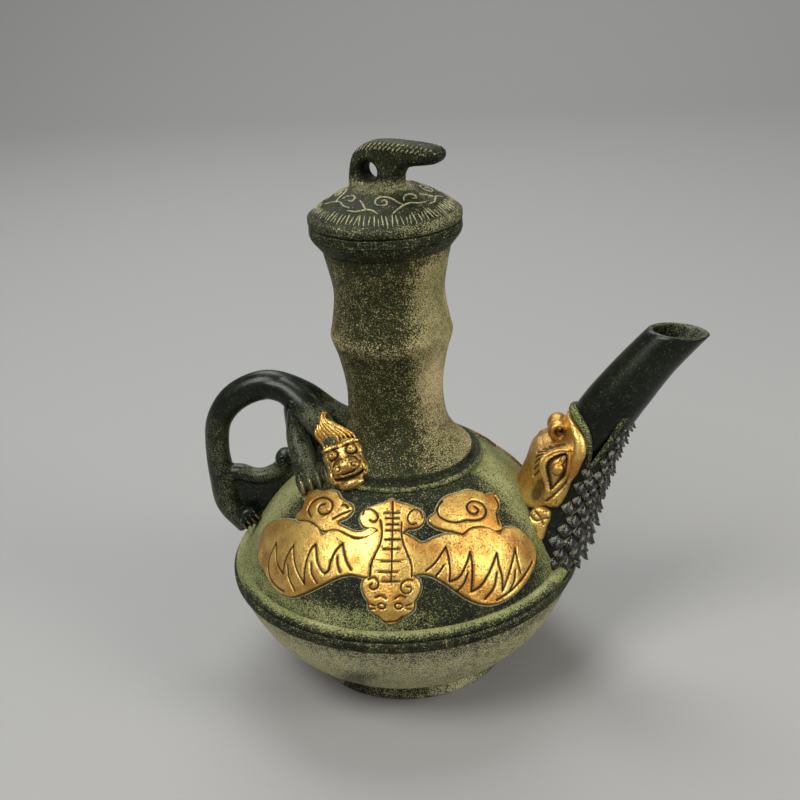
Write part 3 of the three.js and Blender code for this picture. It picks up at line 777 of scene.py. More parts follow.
class Trees:
    """Node trees that lay copies on points and draw tubes along lines."""

    def __init__(self) -> None:
        """Builds both trees once."""
        self.copies = self._copies_tree()
        self.tubes = self._tubes_tree()

    @staticmethod
    def _new(name: str, **inputs: str) -> tuple[Nodes, dict[str, NodeSocket], dict[str, str]]:
        """Empty tree with named inputs.

        Args:
            name: Name of the tree.
            **inputs: Socket type of each input.

        Returns:
            Its nodes, and the sockets and the identifiers of its inputs by name.
        """
        tree = bpy.data.node_groups.new(name, "GeometryNodeTree")
        keys = {}
        for label, kind in {"Geometry": "Geometry", **inputs}.items():
            socket = tree.interface.new_socket(label, in_out="INPUT", socket_type=f"NodeSocket{kind}")
            keys[label] = socket.identifier
        tree.interface.new_socket("Geometry", in_out="OUTPUT", socket_type="NodeSocketGeometry")
        nodes = Nodes(tree)
        given = nodes.add("NodeGroupInput").outputs
        return nodes, {label: given[label] for label in keys}, keys

    @classmethod
    def _copies_tree(cls) -> tuple[NodeTree, dict[str, str]]:
        """Tree that lays copies of one shape on points, each with its own turn and size.

        Returns:
            The tree and the identifiers of its inputs by name.
        """
        nodes, given, keys = cls._new("Copies on points", Shape="Object", Size="Float", Finish="Material")
        shape = nodes.add("GeometryNodeObjectInfo", {"Object": given["Shape"]})
        turn = nodes.add("FunctionNodeEulerToRotation", {"Euler": nodes.attribute(TURN, "FLOAT_VECTOR")})
        factors = {0: nodes.attribute(GROWTH), 1: given["Size"]}
        size = nodes.add("ShaderNodeMath", factors, operation="MULTIPLY")
        laid = {
            "Points": given["Geometry"],
            "Instance": shape.outputs["Geometry"],
            "Rotation": turn.outputs["Rotation"],
            "Scale": size.outputs["Value"],
        }
        lay = nodes.add("GeometryNodeInstanceOnPoints", laid)
        return cls._close(nodes, lay.outputs["Instances"], given["Finish"]), keys

    @classmethod
    def _tubes_tree(cls) -> tuple[NodeTree, dict[str, str]]:
        """Tree that draws a round tube along each line of a mesh, with a girth at each point.

        Returns:
            The tree and the identifiers of its inputs by name.
        """
        nodes, given, keys = cls._new("Tubes along lines", Sides="Int", Girth="Float", Finish="Material")
        curve = nodes.add("GeometryNodeMeshToCurve", {"Mesh": given["Geometry"]})
        circle = {"Resolution": given["Sides"], "Radius": given["Girth"]}
        ring = nodes.add("GeometryNodeCurvePrimitiveCircle", circle)
        drawn = {
            "Curve": curve.outputs["Curve"],
            "Profile Curve": ring.outputs["Curve"],
            "Scale": nodes.attribute(GROWTH),
            "Fill Caps": True,
        }
        skin = nodes.add("GeometryNodeCurveToMesh", drawn)
        return cls._close(nodes, skin.outputs["Mesh"], given["Finish"]), keys

    @staticmethod
    def _close(nodes: Nodes, made: NodeSocket, finish: NodeSocket) -> NodeTree:
        """Ends a tree in Realize Instances and Set Material.

        Args:
            nodes: Nodes of the tree.
            made: Geometry to end in.
            finish: Material to set.

        Returns:
            The ended tree.
        """
        real = nodes.add("GeometryNodeRealizeInstances", {"Geometry": made})
        dressed = {"Geometry": real.outputs["Geometry"], "Material": finish}
        coat = nodes.add("GeometryNodeSetMaterial", dressed)
        nodes.add("NodeGroupOutput", {"Geometry": coat.outputs["Geometry"]})
        return nodes.tree

    @staticmethod
    def _run(obj: Object, tree: tuple[NodeTree, dict[str, str]], **values: object) -> Object:
        """Runs a tree on an object and returns the plain mesh.

        Args:
            obj: Object that carries the points.
            tree: Tree and identifiers.
            **values: Value of each input.

        Returns:
            Object with the plain mesh.
        """
        group, keys = tree
        modifier = obj.modifiers.new("nodes", "NODES")
        modifier.node_group = group
        for label, value in values.items():
            modifier[keys[label]] = value
        return settle(obj)

    def lay(
        self, name: str, shape: Object, points: Points, turns: Points, sizes: Points, finish: Material
    ) -> Object:
        """Lays copies of a shape on points.

        Args:
            name: Name of the piece.
            shape: The shape, which is removed afterwards.
            points: Places in millimetres.
            turns: Euler angles of each copy.
            sizes: Size of each copy.
            finish: Material of the copies.

        Returns:
            All the copies as one plain mesh.
        """
        obj = make_mesh(name, points, [])
        store(obj.data, TURN, turns)
        store(obj.data, GROWTH, sizes)
        made = self._run(obj, self.copies, Shape=shape, Size=1.0, Finish=finish)
        bpy.data.objects.remove(shape)
        return made

    def tube(
        self, name: str, lines: Sequence[Points], girths: Sequence[Points], finish: Material, sides: int = 10
    ) -> Object:
        """Draws tubes along lines.

        Args:
            name: Name of the piece.
            lines: Points of each tube, in millimetres.
            girths: Radius at each point, in millimetres.
            finish: Material of the tubes.
            sides: Facets round a tube.

        Returns:
            All the tubes as one plain mesh.
        """
        mesh = bpy.data.meshes.new(name)
        points = np.vstack(lines) * MM
        starts = np.cumsum([0] + [len(line) for line in lines[:-1]])
        edges = [(s + i, s + i + 1) for s, line in zip(starts, lines) for i in range(len(line) - 1)]
        mesh.from_pydata(points.tolist(), [tuple(map(int, e)) for e in edges], [])
        store(mesh, GROWTH, np.concatenate(girths))
        return self._run(linked(name, mesh), self.tubes, Sides=sides, Girth=MM, Finish=finish)


# Finishes


def weathering_group() -> NodeTree:
    """Group of patches, powder and grain that all the finishes share.

    Returns:
        The shader group.
    """
    patch_edge, powder_edge = (0.36, 0.64), (0.575, 0.745)
    coarser, cloudy, lift = 0.16, 0.3, 0.42
    tree = bpy.data.node_groups.new("Weathering", "ShaderNodeTree")
    inputs = {"Vector": "Vector", "Patch Scale": "Float", "Powder Scale": "Float", "Cover": "Float"}
    for label, kind in inputs.items():
        tree.interface.new_socket(label, in_out="INPUT", socket_type=f"NodeSocket{kind}")
    for label in ("Patches", "Powder", "Grain"):
        tree.interface.new_socket(label, in_out="OUTPUT", socket_type="NodeSocketFloat")
    shade = Nodes(tree)
    given = shade.add("NodeGroupInput").outputs
    patch = shade.noise(given["Vector"], given["Patch Scale"], 6.0, 0.62)
    fine = shade.noise(given["Vector"], given["Powder Scale"], 2.0, 0.7)
    coarse = shade.add("ShaderNodeMath", {0: given["Powder Scale"], 1: coarser}, operation="MULTIPLY")
    cloud = shade.noise(given["Vector"], coarse.outputs["Value"], 4.0, 0.65)
    blend = shade.add("ShaderNodeMix", {0: cloudy, 2: fine, 3: cloud}, data_type="FLOAT").outputs[0]
    lifted = shade.add("ShaderNodeMath", {0: given["Cover"], 1: lift, 2: blend}, operation="MULTIPLY_ADD")
    results = {
        "Patches": shade.span(patch, *patch_edge),
        "Powder": shade.span(lifted.outputs["Value"], *powder_edge),
        "Grain": fine,
    }
    shade.add("NodeGroupOutput", results)
    return tree


@dataclass(frozen=True)
class Finish:
    """Metal in two tones under a powder.

    The ink attribute adds powder, or draws lines if the finish has a tone for them.
    """

    name: str
    tone: Colour
    patch: Colour
    powder: Colour
    pale: Colour
    cover: float
    metallic: float
    cover_on_top: float = 0.0
    roughness: Pair = (0.58, 0.88)
    line: Colour | None = None
    patch_scale: float = 60.0
    powder_scale: float = 2600.0
    bump: float = 0.25
    specular: float = 0.3
    powdered_metal: float = 0.35  # share of the metal's shine under powder
    sand: Row = (0.53, 0.70, 0.6)  # grain that turns pale: from, to, share
    pits: Row = (0.34, 0.53, 0.72)  # grain that stays dark: from, to, share
    line_metal: float = 0.2  # share of the metal's shine in a line
    line_specular: float = 0.1
    grain_depth: float = 0.0003  # metres

    def material(self, weathering: NodeTree) -> Material:
        """Builds the material.

        Args:
            weathering: The shared node group.

        Returns:
            The material.
        """
        material = bpy.data.materials.new(self.name)
        material.use_nodes = True
        material.node_tree.nodes.clear()
        shade = Nodes(material.node_tree)
        ink = shade.add("ShaderNodeAttribute", attribute_name=INK).outputs["Fac"]
        normal = shade.add("ShaderNodeNewGeometry").outputs["Normal"]
        up = shade.add("ShaderNodeSeparateXYZ", {"Vector": normal}).outputs["Z"]
        cover = shade.sum(shade.span(up, 0.0, 1.0, (0.0, self.cover_on_top)), self.cover)
        if self.line is None:
            cover = shade.sum(cover, ink)
        given = {
            "Vector": shade.add("ShaderNodeTexCoord").outputs["Object"],
            "Patch Scale": self.patch_scale,
            "Powder Scale": self.powder_scale,
            "Cover": cover,
        }
        wear = shade.add("ShaderNodeGroup", given, node_tree=weathering).outputs
        patches, powder, grain = wear["Patches"], wear["Powder"], wear["Grain"]
        colour = shade.mix(patches, self.tone, self.patch)
        paleness = shade.sum(cover, patches, "MULTIPLY") if self.line is None else powder
        colour = shade.mix(powder, colour, shade.mix(paleness, self.powder, self.pale))
        metal = shade.span(powder, 0.0, 1.0, (self.metallic, self.metallic * self.powdered_metal))
        specular: object = self.specular
        if self.line is None:
            low, high, share = self.sand
            sand = shade.sum(shade.span(grain, low, high, (0.0, share)), powder, "MULTIPLY")
            colour = shade.mix(sand, colour, self.pale)
            low, high, share = self.pits
            colour = shade.mix(shade.span(grain, low, high, (share, 0.0)), colour, self.tone)
        else:
            colour = shade.mix(ink, colour, self.line)
            metal = shade.sum(metal, shade.span(ink, 0.0, 1.0, (1.0, self.line_metal)), "MULTIPLY")
            specular = shade.span(ink, 0.0, 1.0, (self.specular, self.line_specular))
        height = {"Strength": self.bump, "Distance": self.grain_depth, "Height": grain}
        look = {
            "Base Color": colour,
            "Roughness": shade.span(powder, 0.0, 1.0, self.roughness),
            "Metallic": metal,
            "Specular IOR Level": specular,
            "Normal": shade.add("ShaderNodeBump", height).outputs["Normal"],
        }
        skin = shade.add("ShaderNodeBsdfPrincipled", look)
        shade.add("ShaderNodeOutputMaterial", {"Surface": skin.outputs["BSDF"]})
        return material


PATINA = Finish(
    "green-black patina",
    tone=(0.007, 0.009, 0.005), patch=(0.017, 0.021, 0.009),
    powder=(0.172, 0.192, 0.070), pale=(0.42, 0.41, 0.20),
    cover=0.03, cover_on_top=0.04, metallic=0.15, specular=0.14,
)
LID_PATINA = Finish(
    "black patina with cream powder",
    tone=(0.008, 0.010, 0.004), patch=(0.024, 0.029, 0.009),
    powder=(0.180, 0.180, 0.085), pale=(0.44, 0.42, 0.24),
    cover=0.02, metallic=0.1, specular=0.14,
)
# The neck's tan pale is partly real powder and partly painted warm light on the neck's lit spout side.
NECK_PATINA = Finish(
    "olive patina with tan powder",
    tone=(0.012, 0.015, 0.004), patch=(0.022, 0.028, 0.008),
    powder=(0.200, 0.190, 0.078), pale=(0.66, 0.53, 0.30),
    cover=0.03, cover_on_top=0.05, metallic=0.1, specular=0.12,
)
BOWL_PATINA = Finish(
    "grey powdered patina",
    tone=(0.018, 0.021, 0.009), patch=(0.040, 0.044, 0.020),
    powder=(0.48, 0.46, 0.25), pale=(0.64, 0.60, 0.36),
    cover=0.10, metallic=0.15, roughness=(0.42, 0.85), specular=0.18,
)
DARK_BRONZE = Finish(
    "black-green bronze",
    tone=(0.005, 0.007, 0.005), patch=(0.011, 0.015, 0.008),
    powder=(0.075, 0.085, 0.040), pale=(0.19, 0.19, 0.10),
    cover=0.04, cover_on_top=0.02, metallic=0.4, roughness=(0.29, 0.7), bump=0.14, specular=0.34,
)
SCALE_BRONZE = Finish(
    "worn scale bronze",
    tone=(0.006, 0.007, 0.006), patch=(0.013, 0.014, 0.010),
    powder=(0.125, 0.128, 0.084), pale=(0.34, 0.33, 0.24),
    cover=0.0, cover_on_top=0.12, metallic=0.4, roughness=(0.26, 0.6), specular=0.6,
)
GILT = Finish(
    "worn gilding",
    tone=(0.49, 0.235, 0.046), patch=(0.88, 0.60, 0.165),
    powder=(0.34, 0.155, 0.031), pale=(0.09, 0.038, 0.010),
    cover=0.20, metallic=0.92, roughness=(0.34, 0.56), line=(0.014, 0.008, 0.003), patch_scale=95.0,
    powder_scale=1900.0, bump=0.5, specular=0.5,
)
# Brown-gold claws on the toes' tops: partly the claws' own colour, partly a painted gleam of light on the
# dark paws.
CLAW_AND_GLEAM = Finish(
    "brown worn claws",
    tone=(0.170, 0.118, 0.050), patch=(0.420, 0.310, 0.150),
    powder=(0.030, 0.024, 0.012), pale=(0.012, 0.011, 0.007),
    cover=0.22, metallic=0.8, roughness=(0.34, 0.6), line=(0.012, 0.008, 0.003), patch_scale=180.0,
    specular=0.5,
)
DULL_GILT = Finish(
    "tarnished gilding",
    tone=(0.49, 0.285, 0.068), patch=(0.78, 0.54, 0.160),
    powder=(0.20, 0.105, 0.027), pale=(0.06, 0.030, 0.010),
    cover=0.24, metallic=0.9, roughness=(0.32, 0.55), line=(0.012, 0.008, 0.003), patch_scale=180.0,
    powder_scale=1900.0, bump=0.5, specular=0.5,
)
PALE_LINES = Finish(
    "powdered raised lines",
    tone=(0.045, 0.047, 0.027), patch=(0.120, 0.118, 0.072),
    powder=(0.30, 0.29, 0.165), pale=(0.46, 0.44, 0.28),
    cover=0.5, metallic=0.0, roughness=(0.6, 0.8),
)


@dataclass
class Bench:
    """Where finished pieces get their material and their place in the frame."""

    trees: Trees = field(default_factory=Trees)
    group: NodeTree = field(default_factory=weathering_group)
    made: dict[str, Material] = field(default_factory=dict)

    def finish(self, finish: Finish) -> Material:
        """Material of a finish, built once.

        Args:
            finish: Finish to build or fetch.

        Returns:
            The material.
        """
        if finish.name not in self.made:
            self.made[finish.name] = finish.material(self.group)
        return self.made[finish.name]

    def add(
        self,
        obj: Object,
        finish: Finish,
        slot: Slot,
        nodes: Sequence[str] = (),
        part: Part = Part.FLASK,
    ) -> Object:
        """Dresses a piece and lets it ride on its body.

        Args:
            obj: The piece.
            finish: Its finish.
            slot: The record's slot for the piece's finish; not used.
            nodes: CAD nodes that it stands for.
            part: The body that it rides on.

        Returns:
            The piece.
        """
        obj.data.materials.clear()
        obj.data.materials.append(self.finish(finish))
        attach(obj, part.value)
        if nodes:
            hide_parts(*nodes)
        LOG.info("%s: %d faces, for %s", obj.name, len(obj.data.polygons), ", ".join(nodes) or "detail")
        return obj


# The flask's own parts


@dataclass
class Vessel:
    """Foot, bowl, waist band, shoulder, collar, neck and mouth, all turned."""

    wall: float = 2.2
    seam: float = 0.12
    foot_radius: float = 31.0
    foot_top: float = 29.0
    foot_height: float = 4.2
    foot_wall: float = 4.0
    base_span: Pair = (1.0, 3.4)
    bowl_pull: Pair = (45.5, 10.8)
    bowl_top: Pair = (53.2, 33.1)
    band_radius: float = BAND_RADIUS
    band_low: float = 33.4
    band_high: float = BAND_TOP
    band_wall: float = 3.0
    rim_groove: Line = ((50.9, 38.45), (50.3, 38.5), (49.95, 38.25), (49.6, 38.35))
    rim_inner: Pair = (49.5, 38.9)
    shoulder_pull: Pair = (41.5, 58.3)
    shoulder_top: Pair = (25.0, 68.8)
    collar_line: Rows = (
        (25.6, 0, 0.3), (25.7, 0.9, 0.6), (24.2, 1.55, 0.4), (23.5, 1.1, 0.35), (22.9, 1.4, 0.3),
    )
    neck_foot: float = NECK_FOOT
    neck_height: float = 63.8
    neck_bore: float = 20.2
    neck_line: Line = (
        (22.4, 0), (18.35, 4.1), (15.5, 9), (14.3, 18.9), (16.0, 30.8), (17.75, 36.6), (17.95, 38.0),
        (17.55, 39.6), (16.8, 43.6), (16.1, 50.8),
    )
    mouth_low: float = 135.7
    mouth_high: float = 142.3
    mouth_radius: float = 21.7
    mouth_bore: float = 16.3
    segments: int = 192

    def build(self, bench: Bench) -> None:
        """Makes and dresses the turned pieces.

        Args:
            bench: Bench that holds the finishes and takes the finished pieces.
        """
        rows = (
            ("foot_ring", self.foot(), BOWL_PATINA, Slot.PATINA, self.bowl_powder),
            ("base_plate", self.base(), BOWL_PATINA, Slot.PATINA, self.bowl_powder),
            ("lower_bowl", self.bowl(), BOWL_PATINA, Slot.PATINA, self.bowl_powder),
            ("waist_band", self.band(), PATINA, Slot.DARK, self.band_powder),
            ("shoulder", self.shoulder(), PATINA, Slot.PATINA, self.shoulder_powder),
            ("neck_collar", self.collar(), PATINA, Slot.DARK, self.collar_powder),
            ("neck", self.neck(), NECK_PATINA, Slot.PATINA, self.neck_powder),
            ("mouth_rim", self.mouth(), PATINA, Slot.DARK, self.band_powder),
        )
        for node, (profile, closed), finish, slot, powder in rows:
            points, faces = lathe(profile, self.segments, closed)
            bench.add(make_mesh(f"{node}_turned", points, faces, powder(points)), finish, slot, (node,))

    @staticmethod
    def spoutward(points: Points) -> Points:
        """How far each point faces the spout, -1 to 1."""
        return points[:, 0] / np.maximum(np.hypot(points[:, 0], points[:, 1]), 1e-6)

    def bowl_powder(self, points: Points) -> Points:
        """Powder on the bowl: more to the handle's side, less low down and in a brushed stain, less under the
        band as painted shade.

        Args:
            points: Points of the piece.

        Returns:
            Powder at each point, 0 for bare metal.
        """
        height = points[:, 2]
        around = np.degrees(np.arctan2(points[:, 0], -points[:, 1]))
        stain = 0.34 * np.exp(-(((around + 30 - 0.8 * height) / 6) ** 2)) * ramp(height, 25, 19)
        foot = 0.24 - 0.30 * np.exp(-(((around - 32) / 14) ** 2))
        # Less powder just under the band, painted shade below its overhang; less near the foot too, save one
        # spot towards the spout.
        edges = 0.16 * ramp(height, 25, 33) + foot * ramp(height, 7, 3)
        return 0.40 - 0.08 * self.spoutward(points) - edges - stain

    @staticmethod
    def band_powder(points: Points) -> Points:
        """Powder on the ridges: a little, everywhere alike."""
        return np.full(len(points), 0.10)

    @staticmethod
    def collar_powder(points: Points) -> Points:
        """Powder on the collar: on its bead."""
        return 0.02 + 0.28 * ramp(np.hypot(points[:, 0], points[:, 1]), 24.4, 25.2)

    def shoulder_powder(self, points: Points) -> Points:
        """Powder on the shoulder: heavy at its ends and on its rim, little round the gilt panels.

        Args:
            points: Points of the piece.

        Returns:
            Powder at each point, 0 for bare metal.
        """
        radius = np.hypot(points[:, 0], points[:, 1])
        away = np.degrees(np.arctan2(np.abs(points[:, 0]), np.abs(points[:, 1])))
        ends = 0.06 + 0.49 * ramp(away, 50, 74)
        rim = 0.66 * ramp(radius, 50.0, 50.4) * (1 - ramp(radius, 52.0, 52.8))
        low = 0.42 * ramp(radius, 46.4, 48.8) * (1 - ramp(radius, 49.5, 49.8)) * ramp(points[:, 0], 26, -8)
        return np.maximum.reduce([ends, rim, low])

    def neck_powder(self, points: Points) -> Points:
        """Powder and painted warm light on the neck: tan and heavy on the spout's lit side, thin above the
        foot.

        Args:
            points: Points of the piece.

        Returns:
            Powder at each point, 0 for bare metal.
        """
        height = points[:, 2] - self.neck_foot
        # Heavier tan towards the spout: partly real powder, partly painted warm light on the lit side.
        side = 0.12 + 0.54 * ramp(self.spoutward(points), 0.20, 0.86)
        handle = 0.10 * ramp(self.spoutward(points), -0.55, -0.9)
        foot = 1 - 0.44 * ramp(height, 26, 6)
        joint = 0.16 * np.exp(-(((height - 37.5) / 2.2) ** 2))
        mouth = 1 - 0.5 * ramp(height, 58, 63)
        return (side * foot + joint + handle) * mouth

    def foot(self) -> Profile:
        """Foot ring.

        Returns:
            Radius and height along the profile, and whether it is closed.
        """
        inner, top = self.foot_top - self.foot_wall, self.foot_height + self.seam
        outer = [(self.foot_radius, 0, 0.5), (self.foot_radius, self.foot_height * 0.4, 0.8)]
        return softened([*outer, (self.foot_top, top, 0.2), (inner, top, 0), (inner, 0, 0.4)]), True

    def base(self) -> Profile:
        """Plate set into the foot.

        Returns:
            Radius and height along the profile, and whether it is closed.
        """
        edge = self.foot_top - self.foot_wall
        low, high = self.base_span
        return [(0, low), (edge * 0.5, low), (edge, low), (edge, high), (0, high)], False

    def inward(self, outer: Points) -> Points:
        """Outer profile moved in by the wall."""
        along = unit(np.gradient(outer, axis=0))
        return outer - np.stack([along[:, 1], -along[:, 0]], -1) * self.wall

    def bowl(self) -> Profile:
        """Bowl below the band.

        Returns:
            Radius and height along the profile, and whether it is closed.
        """
        low = self.foot_height + self.seam
        outer = bezier((self.foot_top, low), self.bowl_pull, self.bowl_top, 48)
        inner = self.inward(outer)[::-1][2:-4]
        line = [(0, low), *map(tuple, outer), (self.bowl_top[0] - self.wall, self.bowl_top[1])]
        return [*line, *map(tuple, inner), (0, low + self.wall)], False

    def band(self) -> Profile:
        """Rounded ridge round the waist.

        Returns:
            Radius and height along the profile, and whether it is closed.
        """
        edge, inner = self.band_radius - 0.7, self.band_radius - self.band_wall
        low, high = self.band_low - self.seam, self.band_high + self.seam
        face = [(self.band_radius, low + 0.6, 0.5), (self.band_radius, high - 0.6, 0.5)]
        return softened([(edge, low, 0.2), *face, (edge, high, 0.2), (inner, high, 0), (inner, low, 0)]), True

    def shoulder(self) -> Profile:
        """Shoulder with its flat rim and a groove inside the rim.

        Returns:
            Radius and height along the profile, and whether it is closed.
        """
        curve = bezier(self.rim_inner, self.shoulder_pull, self.shoulder_top, 64)
        start = self.bowl_top[0]
        rim = [(start, self.band_high), (start - 0.1, 37.3), (start - 0.7, 37.9), *self.rim_groove]
        inner = self.inward(curve)[::-1][2:]
        top = (self.shoulder_top[0] - self.wall, self.shoulder_top[1] + self.seam)
        foot = [(start - self.wall, 38.4), (start - self.wall, self.band_high)]
        return [*rim, *map(tuple, curve), top, *map(tuple, inner), *foot], True

    def collar(self) -> Profile:
        """Bead and groove at the foot of the neck.

        Returns:
            Radius and height along the profile, and whether it is closed.
        """
        low, high = self.shoulder_top[1], self.neck_foot + self.seam
        outer = [(r, low + h, rounding) for r, h, rounding in self.collar_line]
        bore = self.neck_bore
        return softened([*outer, (22.6, high, 0.2), (bore, high, 0), (bore, low, 0)]), True

    def neck(self) -> Profile:
        """Neck with its bamboo joint.

        Returns:
            Radius and height along the profile, and whether it is closed.
        """
        knots = [*self.neck_line, (18.5, self.neck_height + 0.2)]
        outer = smooth_path([(r, self.neck_foot + h) for r, h in knots], 110)
        inner = self.inward(outer)[::-1]
        inner[0], inner[-1] = (self.mouth_bore, outer[-1][1]), (self.neck_bore, outer[0][1])
        return [*map(tuple, outer), *map(tuple, inner)], True

    def mouth(self) -> Profile:
        """Flared mouth.

        Returns:
            Radius and height along the profile, and whether it is closed.
        """
        r, low, high = self.mouth_radius, self.mouth_low - self.seam, self.mouth_high
        outer = [(18.9, low, 0.2), (20.2, low + 1.6, 1.0), (r, low + 3.5, 1.2), (r + 0.1, low + 4.6, 0.4)]
        bore = self.mouth_bore
        return softened([*outer, (r, high, 0.5), (bore, high, 0.5), (bore, low, 0)]), True

    def on_shoulder(self, degrees: Points, arc: Points, lift: Points | float, side: Side) -> Points:
        """Points on the shoulder.

        Args:
            degrees: Angle from the middle of the side's bat, to the right as seen.
            arc: Way up the shoulder from its rim.
            lift: Height off the shoulder.
            side: Front or back.

        Returns:
            The points, in millimetres.
        """
        line = bezier(self.rim_inner, self.shoulder_pull, self.shoulder_top, 400)
        run = run_of(line)
        along = unit(np.gradient(line, axis=0))
        r, z, ar, az = (np.interp(arc, run, column) for column in (*line.T, *along.T))
        radius = r + az * lift
        turn = np.radians(degrees) + side.value * np.pi / 2
        return np.stack([radius * np.cos(turn), radius * np.sin(turn), z - ar * lift], -1)


